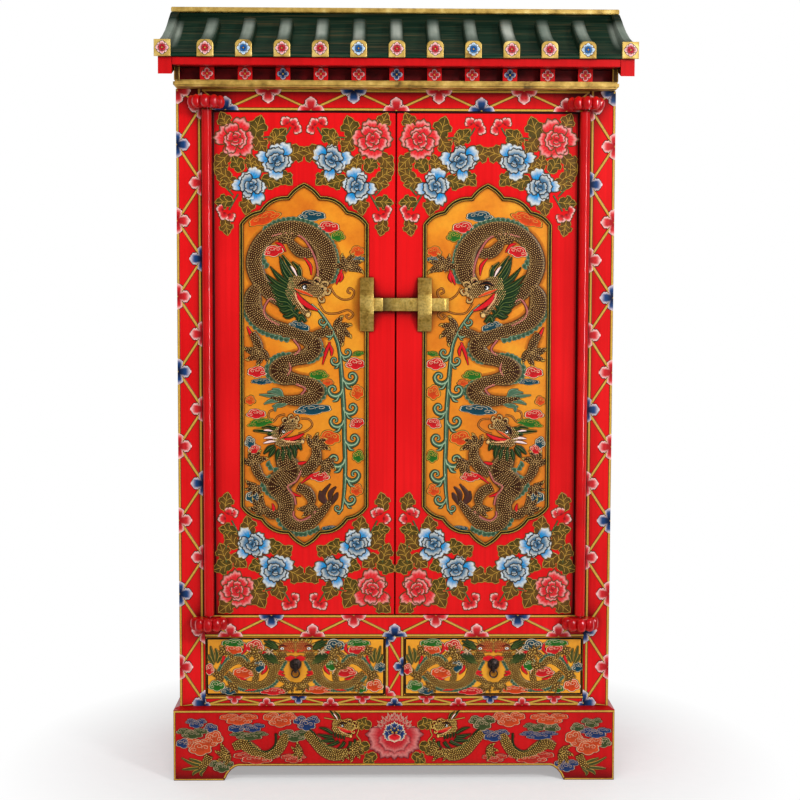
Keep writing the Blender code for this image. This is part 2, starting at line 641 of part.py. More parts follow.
def build_tile_caps(gold, carrier):
    """The square tile ends along the eave, arched except for the two outer ones, on one lath."""
    low = Z_ROOF + FIT
    half = CAP_SIZE / 2
    corner = CAP_ROUND
    outline = []
    for centre in rib_centres():
        outline += [(centre - half, low + CAP_LATH)]
        if abs(centre) == END_RIB_X:
            outline += [(centre - half, low + CAP_SIZE), (centre + half, low + CAP_SIZE)]
        else:
            for turn in (180, 150, 120, 90):
                spot = math.radians(turn)
                outline.append((centre - half + corner + corner * math.cos(spot),
                                low + CAP_SIZE - corner + corner * math.sin(spot)))
            for turn in (90, 60, 30, 0):
                spot = math.radians(turn)
                outline.append((centre + half - corner + corner * math.cos(spot),
                                low + CAP_SIZE - corner + corner * math.sin(spot)))
        outline += [(centre + half, low + CAP_LATH)]
    outline[0] = (outline[0][0], low)
    outline[-1] = (outline[-1][0], low)
    add("tile_caps", prism(outline, "u", ROOF_FRONT_U + FIT, EAVE_REACH), gold, carrier)


def build_rafter_ends(red, carrier):
    """Square rafter ends standing out from one lath, in line with the tile ribs."""
    edge = HALF - FRIEZE_SETBACK - FRIEZE_END - FIT
    lath_back = FRIEZE_REACH - FRIEZE_RECESS + FIT
    lath_front = lath_back + RAFTER_LATH
    outline = [(-edge, lath_back), (-edge, lath_front)]
    for centre in rib_centres()[1:-1]:
        low = centre - RAFTER_WIDTH / 2
        high = centre + RAFTER_WIDTH / 2
        outline += [(low, lath_front), (low, FRIEZE_REACH), (high, FRIEZE_REACH), (high, lath_front)]
    outline += [(edge, lath_front), (edge, lath_back)]
    add("rafter_ends", prism(outline, "z", Z_FRIEZE + FIT, Z_EAVE), red, carrier)


def build_gable(name, side, red, carrier):
    """A board that follows the roof's sweep beyond the body, with the wall that closes the roof behind it."""
    sweep = [(u, z - FIT) for u, z in (roof_curve(station[0]) for station in ROOF_STATIONS)]
    upper = sweep + [(BACK_U, sweep[-1][1])]
    drop = EAVE_HEIGHT + GABLE_DROP
    lower = [(u, z - drop) for u, z in reversed(upper)]
    ends = sorted((side * GABLE_INNER, side * ROOF_HALF))
    piece = add(name, prism(upper + lower, "x", ends[0], ends[1]), red, carrier)
    near = -EAVE_BACK - FIT
    far = INSIDE_BACK_U + FIT
    ahead = [point for point in sweep if point[0] > near][-1]
    behind = [point for point in sweep if point[0] <= near]
    share = (ahead[0] - near) / (ahead[0] - behind[0][0])
    top = [(near, ahead[1] + share * (behind[0][1] - ahead[1]))] + behind + [(far, sweep[-1][1])]
    wall = top + [(far, Z_EAVE + FIT), (near, Z_EAVE + FIT)]
    ends = sorted((side * (GABLE_INNER - GABLE_WALL), side * (GABLE_INNER + FIT)))
    combine(piece, prism(wall, "x", ends[0], ends[1]), "UNION")


def build_roof(red, gold, green, carrier):
    cornice_half = HALF + CORNICE_LEDGE
    bm = box((-cornice_half, cornice_half), (BACK_U, CORNICE_REACH), (Z_CORNICE + FIT, Z_FRIEZE))
    soften(bm, CORNICE_ROUND, 2)
    add("cornice", bm, gold, carrier)
    edge = HALF - FRIEZE_SETBACK
    inner = edge - FRIEZE_END
    wall_front = FRIEZE_REACH - FRIEZE_RECESS
    wall_back = wall_front - FRIEZE_THICK
    rear = INSIDE_BACK_U + FIT
    half_plan = [(inner, wall_front), (inner, FRIEZE_REACH), (edge, FRIEZE_REACH), (edge, rear),
                 (inner, rear), (inner, wall_back)]
    plan = half_plan + [(-x, u) for x, u in reversed(half_plan)]
    add("frieze", prism(plan, "z", Z_FRIEZE + FIT, Z_EAVE), red, carrier)
    build_rafter_ends(red, carrier)
    eave_x = (-GABLE_INNER + FIT, GABLE_INNER - FIT)
    board("eave_board", eave_x, (-EAVE_BACK, ROOF_FRONT_U), (Z_EAVE + FIT, Z_ROOF), red, carrier)
    build_gable("left_gable", -1, red, carrier)
    build_gable("right_gable", 1, red, carrier)
    build_roof_deck(green, carrier)
    build_tile_caps(gold, carrier)
    board("roof_top", (-ROOF_HALF, ROOF_HALF), (BACK_U, -RIDGE_SETBACK - FIT),
          (Z_RIDGE - ROOF_BOARD, Z_RIDGE), green, carrier)
    trim_front = -RIDGE_SETBACK + RIDGE_TRIM_LAP
    board("ridge_trim", (-ROOF_HALF, ROOF_HALF), (trim_front - RIDGE_TRIM_DEPTH, trim_front),
          (Z_RIDGE + FIT, Z_SUMMIT), gold, carrier, CORNICE_ROUND / 2)
    back_half = GABLE_INNER - FIT
    board("roof_back", (-back_half, back_half), (BACK_U, INSIDE_BACK_U),
          (Z_FRIEZE + FIT, Z_RIDGE - ROOF_BOARD - FIT), red, carrier)


def main():
    for thing in list(bpy.data.objects):
        bpy.data.objects.remove(thing, do_unlink=True)
    red = finish("red_lacquer", (0.80, 0.012, 0.012), 0.28)
    amber = finish("amber_lacquer", (0.87, 0.35, 0.014), 0.32)
    rim_green = finish("dark_green_lacquer", (0.028, 0.034, 0.009), 0.35)
    roof_green = finish("roof_green_paint", (0.018, 0.060, 0.040), 0.45)
    gold = finish("gold_paint", (0.48, 0.31, 0.08), 0.40, 0.3)
    brass = finish("aged_brass", (0.47, 0.31, 0.07), 0.35, 1.0)
    iron = finish("dark_iron", (0.045, 0.040, 0.038), 0.40, 0.9)
    wood = finish("plain_wood", (0.36, 0.17, 0.07), 0.60)

    cabinet = body("cabinet")
    build_plinth(red, cabinet)
    build_case(red, wood, cabinet)
    build_frame(red, cabinet)
    build_guides(wood, cabinet)
    build_sockets(red, cabinet)
    build_roof(red, gold, roof_green, cabinet)
    for word, side in (("left", -1), ("right", 1)):
        door = body(word + "_door", at(side * POST_X, POST_STAND, DOOR_FOOT))
        build_door(word, side, red, amber, rim_green, brass, door)
        drawer = body(word + "_drawer", at(side * PULL_X, 0.0, Z_DRAWER))
        build_drawer(word, side, amber, wood, drawer)
        build_boss(word, side, iron, drawer)
        ring = body(word + "_ring", at(side * PULL_X, LUG_STAND, PULL_Z - LUG_DROP))
        build_ring(word, side, iron, ring)
    latch = body("latch", at(0.0, BOLT_FRONT_U, LATCH_Z))
    build_bolt(brass, latch)


main()
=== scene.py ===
"""Looks of the pagoda armoire: lacquer, gold lattice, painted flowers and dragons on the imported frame.

Sizes are in millimetres unless a name says otherwise: x across, z up, and u forward of the face frame.
"""
import math

import bmesh
import bpy
from mathutils import Matrix, Vector


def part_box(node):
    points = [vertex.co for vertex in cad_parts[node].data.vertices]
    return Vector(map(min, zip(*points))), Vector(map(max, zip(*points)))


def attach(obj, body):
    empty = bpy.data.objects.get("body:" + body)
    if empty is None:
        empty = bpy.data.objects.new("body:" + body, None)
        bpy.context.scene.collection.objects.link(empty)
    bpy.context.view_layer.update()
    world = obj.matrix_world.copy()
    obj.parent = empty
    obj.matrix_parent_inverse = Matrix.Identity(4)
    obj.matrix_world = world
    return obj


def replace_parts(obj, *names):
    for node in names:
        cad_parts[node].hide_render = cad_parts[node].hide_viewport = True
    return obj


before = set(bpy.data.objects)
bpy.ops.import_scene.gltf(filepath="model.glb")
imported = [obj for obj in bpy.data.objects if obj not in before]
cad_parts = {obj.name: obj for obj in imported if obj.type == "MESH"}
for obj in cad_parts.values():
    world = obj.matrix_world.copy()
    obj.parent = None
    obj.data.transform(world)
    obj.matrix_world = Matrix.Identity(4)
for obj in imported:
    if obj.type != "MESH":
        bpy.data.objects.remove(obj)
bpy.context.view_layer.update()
MM = 0.001


def span(node, axis="z"):
    """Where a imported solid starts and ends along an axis."""
    return [getattr(corner, axis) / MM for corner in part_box(node)]


def stand(node):
    """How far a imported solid's front stands ahead of the face frame."""
    return (FRONT_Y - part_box(node)[0].y) / MM


# Lines of the armoire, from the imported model
FRONT_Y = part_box("left_stile")[0].y
OPENING, HALF = span("right_stile", "x")
TOP_RAIL = span("top_rail")
MIDDLE_RAIL = span("middle_rail")
BOTTOM_RAIL = span("bottom_rail")
DIVIDER = span("drawer_divider", "x")[1]
PLINTH_U = stand("plinth_front")
PLINTH_HALF = span("plinth_front", "x")[1]
PLINTH_TOP = span("plinth_front")[1]
CAPS_U = stand("tile_caps")
CAPS_Z = span("tile_caps")
RAFTER_U = stand("rafter_ends")
RAFTER_Z = span("rafter_ends")
PANEL_X = sum(span("right_door_panel", "x")) / 2
PANEL_Z = sum(span("right_door_panel")) / 2
PANEL_U = -2.0
RIM_U = 3.0
RIB_PITCH = 89.4
CORNER_RIB = 546.6         # middle of the last rib, at the roof's edge
POST_X = 452.0
POST_U = 10.0
POST_RADIUS = 12.5
PIN_RADIUS = 6.0
PIN_LENGTH = 18.0
DRAWER_X = 242.55          # middle of the right drawer's front
DRAWER_Z = (BOTTOM_RAIL[1] + MIDDLE_RAIL[0]) / 2


def srgb(code):
    """Linear colour from an sRGB hex code."""
    shares = [int(code[k:k + 2], 16) / 255 for k in (1, 3, 5)]
    return tuple(s / 12.92 if s <= 0.04045 else ((s + 0.055) / 1.055) ** 2.4 for s in shares)


def shades(*codes):
    return tuple(srgb(code) for code in codes)


def mixed(a, b, share):
    return tuple(p + (q - p) * share for p, q in zip(a, b))


def clamped(value):
    return min(1.0, max(0.0, value))


# Paints of the ornament
GOLD_LINE = srgb("#CFA23E")
BROWN_LINE = srgb("#553813")
DARK_LINE = srgb("#43260E")
DARK_RED = srgb("#6E090C")
CREAM = srgb("#E6D3AE")
DULL_CREAM = srgb("#CDAE8A")
WHITE = srgb("#F6F2EC")
BLACK = srgb("#15120F")
# Painted shade in the gaps beside the doors
GAP_SHADE = srgb("#2A0506")
PALE_PINK = srgb("#F6DAD4")
RED = srgb("#D8141E")
DEEP_RED = srgb("#8E0A12")
DEEP_BLUE = srgb("#0A2644")
NAVY = srgb("#1E3064")
TEAL = srgb("#0C4656")
ORANGE = srgb("#DC440E")
FLAME = srgb("#D4101A")
CLOUD_GREEN = srgb("#24701E")
OLIVE = srgb("#464C22")
LEAF = srgb("#563810")
LEAF_DARK = srgb("#44380E")
STEM = srgb("#44683A")
JADE = srgb("#3E5E46")
PALE_JADE = srgb("#9DB892")
MANE = srgb("#0E2E14")
MANE_LINE = srgb("#5A6A30")
BODY = srgb("#3A1C08")
PLINTH_BODY = srgb("#54380F")
RUSSET = srgb("#8A3C12")
CROWN_RED = srgb("#9A2410")
SCALE = srgb("#E4B870")
BELLY = srgb("#B0605A")
FIN = srgb("#4A6A50")
GILT = srgb("#C39A42")
DRAWER_SCALE = srgb("#F4C862")
DARK_BODY = srgb("#54340E")
GROUND = srgb("#E2861A")
# Brown stain and painted shade beside the panels' bodies
STAIN_AND_SHADE = srgb("#8A4410")
WHISKER = srgb("#B8702A")
LIP = srgb("#E0A878")
PURPLE = srgb("#4A2A24")


# Materials
def plug(tree, node, inputs):
    """Set a node's sockets, or link those that are given an output, or a node for its first output."""
    for name, value in inputs.items():
        if isinstance(value, bpy.types.Node):
            value = value.outputs[0]
        if isinstance(value, bpy.types.NodeSocket):
            tree.links.new(value, node.inputs[name])
        else:
            node.inputs[name].default_value = value


def add_node(tree, kind, inputs=None, stops=(), **settings):
    """Add a node with its settings and colour stops, each an sRGB code or a linear colour, and plug it."""
    node = tree.nodes.new("ShaderNode" + kind)
    for k, (place, colour) in enumerate(stops):
        elements = node.color_ramp.elements
        element = elements[k] if k < 2 else elements.new(place)
        element.position = place
        element.color = (*(srgb(colour) if isinstance(colour, str) else colour), 1.0)
    for name, value in settings.items():
        setattr(node, name, value)
    plug(tree, node, inputs or {})
    return node


def per(size):
    """Texture scale for a pattern whose marks are this many millimetres apart."""
    return 1000.0 / size


def new_material(name):
    material = bpy.data.materials.new(name)
    material.use_nodes = True
    tree = material.node_tree
    shader = tree.nodes["Principled BSDF"]
    place = add_node(tree, "TexCoord").outputs["Object"]
    return material, tree, shader, place


FULL = (1.0, 1.0, 1.0)      # leaves a colour as it is
NONE = (0.0, 0.0, 0.0)
SHADE_REACH = 0.06          # metres from a corner to where the painted shade fades out


def red_lacquer(name, thin, full):
    """Several coats of red lacquer brushed on softwood: a satin gloss, faint upright brush marks, a slow
    change of depth between coats, a few dark rubbed specks, and painted shade that darkens the corners."""
    material, tree, shader, place = new_material(name)
    upright = add_node(tree, "Mapping", {"Vector": place, "Scale": (1.0, 1.0, 0.03)})
    brush = add_node(tree, "TexNoise", {"Vector": upright, "Scale": per(9.0), "Detail": 3.0})
    depth = add_node(tree, "TexNoise", {"Vector": place, "Scale": per(220.0), "Detail": 2.0})
    specks = add_node(tree, "TexNoise", {"Vector": place, "Scale": per(30.0), "Detail": 5.0})
    coat = add_node(tree, "ValToRGB", {"Fac": depth}, ((0.3, thin), (0.7, full)))
    marks = add_node(tree, "ValToRGB", {"Fac": brush}, ((0.35, (0.90, 0.85, 0.85)), (0.62, FULL)))
    toned = add_node(tree, "MixRGB", {"Fac": 1.0, "Color1": coat, "Color2": marks}, blend_type="MULTIPLY")
    darkened = add_node(tree, "ValToRGB", {"Fac": specks}, ((0.715, NONE), (0.76, (0.6, 0.6, 0.6))))
    rubbed = add_node(tree, "MixRGB", {"Fac": darkened, "Color1": toned, "Color2": (*srgb("#7A0E0E"), 1.0)})
    # Painted shade: ambient occlusion darkens the lacquer in corners and round what stands off it, such as
    # the latch
    corners = add_node(tree, "AmbientOcclusion", {"Distance": SHADE_REACH}, samples=8)
    painted_shade = add_node(tree, "ValToRGB", {"Fac": corners.outputs["AO"]},
                     ((0.45, (0.10, 0.08, 0.07)), (0.93, FULL)))
    colour = add_node(tree, "MixRGB", {"Fac": 1.0, "Color1": rubbed, "Color2": painted_shade}, blend_type="MULTIPLY")
    gloss = add_node(tree, "MapRange", {"Value": depth, "To Min": 0.24, "To Max": 0.36})
    bump = add_node(tree, "Bump", {"Height": brush, "Strength": 0.06, "Distance": 0.0006})
    plug(tree, shader, {"Base Color": colour, "Roughness": gloss, "Specular IOR Level": 0.16, "Normal": bump})
    return material


def amber_lacquer():
    """Amber lacquer over a yellow ground: orange-yellow that darkens in soft cloudy patches, deeper orange
    towards the bottom of the panels, painted shade in the corners, and yellow on the drawers."""
    material, tree, shader, place = new_material("wiped_amber_lacquer")
    cloudy = add_node(tree, "TexNoise", {"Vector": place, "Scale": per(120.0), "Detail": 4.0})
    fine = add_node(tree, "TexNoise", {"Vector": place, "Scale": per(7.0), "Detail": 2.0})
    ground = add_node(tree, "ValToRGB", {"Fac": cloudy},
                      ((0.34, "#D4700C"), (0.5, "#E88E18"), (0.66, "#F0A826")))
    height = add_node(tree, "SeparateXYZ", {"Vector": place}).outputs["Z"]
    # Darker and more orange towards the bottom of the panels, yellow below them on the drawers
    low = add_node(tree, "MapRange", {"Value": height, "From Min": 0.6, "From Max": 1.4, "To Min": 0.65,
                                      "To Max": 0.0})
    lower = add_node(tree, "ValToRGB", {"Fac": height}, ((0.47, "#F6B02A"), (0.55, "#D4700C")))
    graded = add_node(tree, "MixRGB", {"Fac": low, "Color1": ground, "Color2": lower})
    grain = add_node(tree, "ValToRGB", {"Fac": fine}, ((0.3, (0.93, 0.90, 0.86)), (0.7, FULL)))
    toned = add_node(tree, "MixRGB", {"Fac": 1.0, "Color1": graded, "Color2": grain}, blend_type="MULTIPLY")
    # Painted shade: ambient occlusion darkens the amber in the corners and beside the raised figures
    corners = add_node(tree, "AmbientOcclusion", {"Distance": SHADE_REACH}, samples=8)
    painted_shade = add_node(tree, "ValToRGB", {"Fac": corners.outputs["AO"]},
                     ((0.45, (0.42, 0.26, 0.16)), (0.92, FULL)))
    colour = add_node(tree, "MixRGB", {"Fac": 1.0, "Color1": toned, "Color2": painted_shade}, blend_type="MULTIPLY")
    bump = add_node(tree, "Bump", {"Height": fine, "Strength": 0.05, "Distance": 0.0005})
    plug(tree, shader, {"Base Color": colour, "Roughness": 0.38, "Specular IOR Level": 0.30, "Normal": bump})
    return material


# Where the roof's paint, its painted highlight and its painted shade change, in metres
RIB_SIDE = (0.006, 0.0165)      # from the top of a round tile to its foot, where its painted highlight fades out
END_RIB = 0.5285                # inner side of the last round tile, beyond which the pale tone and painted highlight cover all
EAVE_HIGHLIGHT = (1.768, 1.812)     # heights over which the painted highlight comes in above the eave
RIDGE_HIGHLIGHT = (1.838, 1.864)    # and goes again under the ridge
RIDGE_SHADE = (1.82, 1.875)


def roof_paint():
    """Dark green oil paint brushed across the tiles: brown streaks where it is thin, painted shade that makes
    it nearly black under the ridge, and on the round tiles a pale grey-green, partly their own tone and
    partly painted highlight, strongest along their tops."""
    material, tree, shader, place = new_material("brushed_green_roof_paint")
    across = add_node(tree, "Mapping", {"Vector": place, "Scale": (0.035, 1.0, 1.0)})
    streak = add_node(tree, "TexNoise", {"Vector": across, "Scale": per(7.0), "Detail": 4.0})
    pans = add_node(tree, "ValToRGB", {"Fac": streak},
                    ((0.40, "#0C281C"), (0.54, "#1E382A"), (0.70, "#54462C")))
    along = add_node(tree, "Mapping", {"Vector": place, "Scale": (1.0, 0.4, 0.4)})
    paling = add_node(tree, "TexNoise", {"Vector": along, "Scale": per(70.0), "Detail": 2.0})
    # Pale grey-green of the round tiles: partly their own tone, partly painted highlight
    tile_tone_and_highlight = add_node(tree, "ValToRGB", {"Fac": paling},
                     ((0.34, "#707C70"), (0.52, "#929A8E"), (0.68, "#B4B8AC")))
    parts = add_node(tree, "SeparateXYZ", {"Vector": place}).outputs
    beside = add_node(tree, "Math", {0: parts["X"], 1: RIB_PITCH / 2 * MM}, operation="PINGPONG")
    on_rib = add_node(tree, "MapRange", {"Value": beside, "From Min": RIB_SIDE[0], "From Max": RIB_SIDE[1],
                                         "To Min": 1.0, "To Max": 0.0})
    out = add_node(tree, "Math", {0: parts["X"]}, operation="ABSOLUTE")
    at_end = add_node(tree, "Math", {0: out, 1: END_RIB}, operation="GREATER_THAN")
    ribbed = add_node(tree, "Math", {0: on_rib, 1: at_end}, operation="MAXIMUM")
    above = add_node(tree, "MapRange", {"Value": parts["Z"], "From Min": EAVE_HIGHLIGHT[0],
                                        "From Max": EAVE_HIGHLIGHT[1]})
    under = add_node(tree, "MapRange", {"Value": parts["Z"], "From Min": RIDGE_HIGHLIGHT[0],
                                        "From Max": RIDGE_HIGHLIGHT[1], "To Min": 1.0, "To Max": 0.0})
    height = add_node(tree, "Math", {0: above, 1: under}, operation="MULTIPLY")
    share = add_node(tree, "Math", {0: ribbed, 1: height}, operation="MULTIPLY")
    colour = add_node(tree, "MixRGB", {"Fac": share, "Color1": pans, "Color2": tile_tone_and_highlight})
    # Painted shade: the roof goes nearly black towards the ridge
    shade = add_node(tree, "MapRange", {"Value": parts["Z"], "From Min": RIDGE_SHADE[0],
                                        "From Max": RIDGE_SHADE[1], "To Min": 1.0, "To Max": 0.45})
    toned = add_node(tree, "MixRGB", {"Fac": 1.0, "Color1": colour, "Color2": shade}, blend_type="MULTIPLY")
    bump = add_node(tree, "Bump", {"Height": streak, "Strength": 0.12, "Distance": 0.0008})
    plug(tree, shader, {"Base Color": toned, "Roughness": 0.45, "Specular IOR Level": 0.05, "Normal": bump})
    return material


def gold_paint(name, *codes):
    """Bronze-powder gold paint: a dull metallic sheen, warm where it is thick, with brown smudges where
    hands and dust have dulled it."""
    material, tree, shader, place = new_material(name)
    smudge = add_node(tree, "TexNoise", {"Vector": place, "Scale": per(26.0), "Detail": 5.0})
    fine = add_node(tree, "TexNoise", {"Vector": place, "Scale": per(3.0), "Detail": 2.0})
    colour = add_node(tree, "ValToRGB", {"Fac": smudge}, tuple(zip((0.26, 0.40, 0.56, 0.74), codes)))
    gloss = add_node(tree, "MapRange", {"Value": fine, "To Min": 0.36, "To Max": 0.55})
    bump = add_node(tree, "Bump", {"Height": fine, "Strength": 0.10, "Distance": 0.0004})
    plug(tree, shader, {"Base Color": colour, "Metallic": 0.35, "Roughness": gloss, "Normal": bump})
    return material


BOLT_DIP = -0.0305          # metres across to where the bolt dips
LATCH_ENDS = (1.1, 1.23)    # metres up to the ends of the keepers


def aged_brass():
    """Sheet brass, filed and never polished since: upright scratches, brown tarnish in patches, brighter
    where it is rubbed, and painted shade on the keepers' upper and lower facets and where the bolt dips."""
    material, tree, shader, place = new_material("filed_brass")
    filed = add_node(tree, "Mapping", {"Vector": place, "Scale": (1.0, 1.0, 0.06)})
    scratch = add_node(tree, "TexNoise", {"Vector": filed, "Scale": per(2.2), "Detail": 3.0})
    tarnish = add_node(tree, "TexNoise", {"Vector": place, "Scale": per(16.0), "Detail": 5.0})
    pits = add_node(tree, "TexNoise", {"Vector": place, "Scale": per(5.0), "Detail": 3.0})
    metal = add_node(tree, "ValToRGB", {"Fac": tarnish},
                     ((0.26, "#A0782E"), (0.42, "#E4BC5C"), (0.7, "#FAD87C")))
    parts = add_node(tree, "SeparateXYZ", {"Vector": place}).outputs
    # Painted shade: darkest where the bolt dips, fading out to the right
    dip = add_node(tree, "MapRange", {"Value": parts["X"], "From Min": BOLT_DIP, "From Max": 0.002,
                                      "To Min": 0.85, "To Max": 0.0})
    past = add_node(tree, "Math", {0: parts["X"], 1: BOLT_DIP}, operation="GREATER_THAN")
    painted_shade = add_node(tree, "Math", {0: dip, 1: past}, operation="MULTIPLY")
    # Painted shade: the keepers' lower and upper facets darker than their middle
    height = add_node(tree, "MapRange", {"Value": parts["Z"], "From Min": LATCH_ENDS[0],
                                         "From Max": LATCH_ENDS[1]})
    ends = add_node(tree, "ValToRGB", {"Fac": height},
                    ((0.32, (0.92, 0.88, 0.80)), (0.34, FULL), (0.66, FULL), (0.68, (0.76, 0.71, 0.62))))
    grit = add_node(tree, "ValToRGB", {"Fac": pits},
                    ((0.36, (0.78, 0.73, 0.64)), (0.5, FULL), (0.66, (1.12, 1.12, 1.12))))
    darkened = add_node(tree, "MixRGB", {"Fac": 1.0, "Color1": metal, "Color2": ends}, blend_type="MULTIPLY")
    pitted_and_shaded = add_node(tree, "MixRGB", {"Fac": 1.0, "Color1": darkened, "Color2": grit}, blend_type="MULTIPLY")
    colour = add_node(tree, "MixRGB", {"Fac": painted_shade, "Color1": pitted_and_shaded, "Color2": (*srgb("#241B0C"), 1.0)})
    gloss = add_node(tree, "MapRange", {"Value": scratch, "To Min": 0.26, "To Max": 0.48})
    bump = add_node(tree, "Bump", {"Height": scratch, "Strength": 0.12, "Distance": 0.0003})
    plug(tree, shader, {"Base Color": colour, "Metallic": 0.7, "Roughness": gloss, "Normal": bump})
    return material


def plain_elm(name, stretch):
    """Planed elm left bare: fine brown pores drawn out along the grain over slow bands of pale and dark, no
    gloss."""
    material, tree, shader, place = new_material(name)
    along = add_node(tree, "Mapping", {"Vector": place, "Scale": stretch})
    bands = add_node(tree, "TexNoise", {"Vector": along, "Scale": per(34.0), "Detail": 2.0})
    pores = add_node(tree, "TexNoise", {"Vector": along, "Scale": per(2.6), "Detail": 4.0})
    wood = add_node(tree, "ValToRGB", {"Fac": bands},
                    ((0.34, "#96683A"), (0.52, "#AE8250"), (0.68, "#C09662")))
    dark = add_node(tree, "ValToRGB", {"Fac": pores}, ((0.36, (0.66, 0.60, 0.54)), (0.56, FULL)))
    colour = add_node(tree, "MixRGB", {"Fac": 1.0, "Color1": wood, "Color2": dark}, blend_type="MULTIPLY")
    bump = add_node(tree, "Bump", {"Height": pores, "Strength": 0.15, "Distance": 0.0003})
    plug(tree, shader, {"Base Color": colour, "Roughness": 0.62, "Normal": bump})
    return material


def painted_relief():
    """Mineral paint laid thick over the raised drawing: each stroke keeps its own colour, a little broken
    by the brush, under one coat of thin varnish."""
    material, tree, shader, place = new_material("mineral_paint_on_relief")
    paint = add_node(tree, "Attribute", attribute_name="paint")
    brush = add_node(tree, "TexNoise", {"Vector": place, "Scale": per(5.0), "Detail": 3.0})
    tone = add_node(tree, "ValToRGB", {"Fac": brush}, ((0.3, (0.80, 0.80, 0.80)), (0.65, (1.05, 1.05, 1.05))))
    colour = add_node(tree, "MixRGB", {"Fac": 1.0, "Color1": paint, "Color2": tone}, blend_type="MULTIPLY")
    plug(tree, shader, {"Base Color": colour, "Roughness": 0.36, "Specular IOR Level": 0.22})
    return material


def post_lacquer():
    """Deep red lacquer rubbed smooth on the round posts: the lamps draw one bright line down each, and
    painted shade darkens the sides towards the board."""
    material, tree, shader, place = new_material("rubbed_red_lacquer")
    depth = add_node(tree, "TexNoise", {"Vector": place, "Scale": per(60.0), "Detail": 3.0})
    coat = add_node(tree, "ValToRGB", {"Fac": depth}, ((0.3, "#B8080C"), (0.7, "#D20C10")))
    parts = add_node(tree, "SeparateXYZ", {"Vector": place})
    # Painted shade: the post goes nearly black along its sides, towards the board behind it
    sides = add_node(tree, "MapRange", {"Value": parts.outputs["Y"],
                                        "From Min": FRONT_Y - (POST_U + 8.0) * MM,
                                        "From Max": FRONT_Y - (POST_U - 1.0) * MM})
    colour = add_node(tree, "MixRGB", {"Fac": sides, "Color1": coat, "Color2": (*srgb("#3A0406"), 1.0)})
    plug(tree, shader, {"Base Color": colour, "Roughness": 0.40, "Specular IOR Level": 0.0,
                        "Coat Weight": 1.0, "Coat Roughness": 0.14, "Coat IOR": 1.6})
    return material


def rafter_lacquer():
    """Red lacquer on the rafter ends, with painted shade darkening their sides and the lath between them."""
    material, tree, shader, place = new_material("red_lacquer_painted_shade_on_lath")
    depth = add_node(tree, "TexNoise", {"Vector": place, "Scale": per(35.0), "Detail": 4.0})
    face = add_node(tree, "ValToRGB", {"Fac": depth}, ((0.3, "#C20C10"), (0.7, "#DE1014")))
    lath = add_node(tree, "ValToRGB", {"Fac": depth}, ((0.3, "#3E0608"), (0.7, "#760B0F")))
    parts = add_node(tree, "SeparateXYZ", {"Vector": place})
    front = FRONT_Y - RAFTER_U * MM
    # Painted shade: darker with depth behind the rafters' front faces
    back = add_node(tree, "MapRange", {"Value": parts.outputs["Y"], "From Min": front + 0.002,
                                       "From Max": front + 0.012})
    colour = add_node(tree, "MixRGB", {"Fac": back, "Color1": face, "Color2": lath})
    plug(tree, shader, {"Base Color": colour, "Roughness": 0.45, "Specular IOR Level": 0.12})
    return material


def mottled(name, size, detail, stops, sockets, rough=0.0):
    """One coat or metal in a few soft tones, with marks this many millimetres apart; rough raises them."""
    material, tree, shader, place = new_material(name)
    marks = add_node(tree, "TexNoise", {"Vector": place, "Scale": per(size), "Detail": detail})
    plug(tree, shader, {"Base Color": add_node(tree, "ValToRGB", {"Fac": marks}, stops), **sockets})
    if rough:
        bump = add_node(tree, "Bump", {"Height": marks, "Strength": rough, "Distance": 0.0004})
        plug(tree, shader, {"Normal": bump})
    return material


# Two copies of the red lacquer: the front faces take the brighter one, and the darker one is painted shade on
# the plinth, the eave board and the other red parts
SHADED_LACQUER = red_lacquer("red_lacquer_darker_painted_shade", "#B60C10", "#CE1014")
BRIGHT_LACQUER = red_lacquer("bright_red_lacquer", "#D80E12", "#E81216")
POST = post_lacquer()
# Dark red lacquer polished by hands on the turned beads: a clear wet coat with sharp highlights
CHERRY = mottled("polished_cherry_lacquer", 14.0, 3.0, ((0.3, "#A2070B"), (0.7, "#CC0D11")),
                 {"Roughness": 0.30, "Specular IOR Level": 0.0, "Coat Weight": 1.0, "Coat Roughness": 0.06,
                  "Coat IOR": 1.85})
# One thin coat of red in the recess under the eave, darkened to brown-red with painted shade
SHADED_RECESS_LACQUER = mottled("red_lacquer_recess_painted_shade", 35.0, 4.0, ((0.3, "#440608"), (0.7, "#7E0C11")),
                       {"Roughness": 0.55, "Specular IOR Level": 0.15})
RAFTER = rafter_lacquer()
AMBER = amber_lacquer()
# Near-black green gloss on the carved panel rims, thinner on its crests where the brown ground shows
RIM = mottled("dark_green_gloss_paint", 18.0, 4.0, ((0.42, "#161B0C"), (0.6, "#202612"), (0.72, "#3A3418")),
              {"Roughness": 0.36, "Specular IOR Level": 0.18})
ROOF = roof_paint()
GOLD = gold_paint("bronze_powder_gold_paint", "#4E3814", "#AE8A3C", "#D2AC54", "#F4D27C")
# A lighter copy of the gold paint: painted light on the ridge trim and the tile ends
LIT_GOLD = gold_paint("gold_paint_painted_light", "#6A4E1E", "#C49E48", "#E2BC62", "#FFE694")
BRASS = aged_brass()
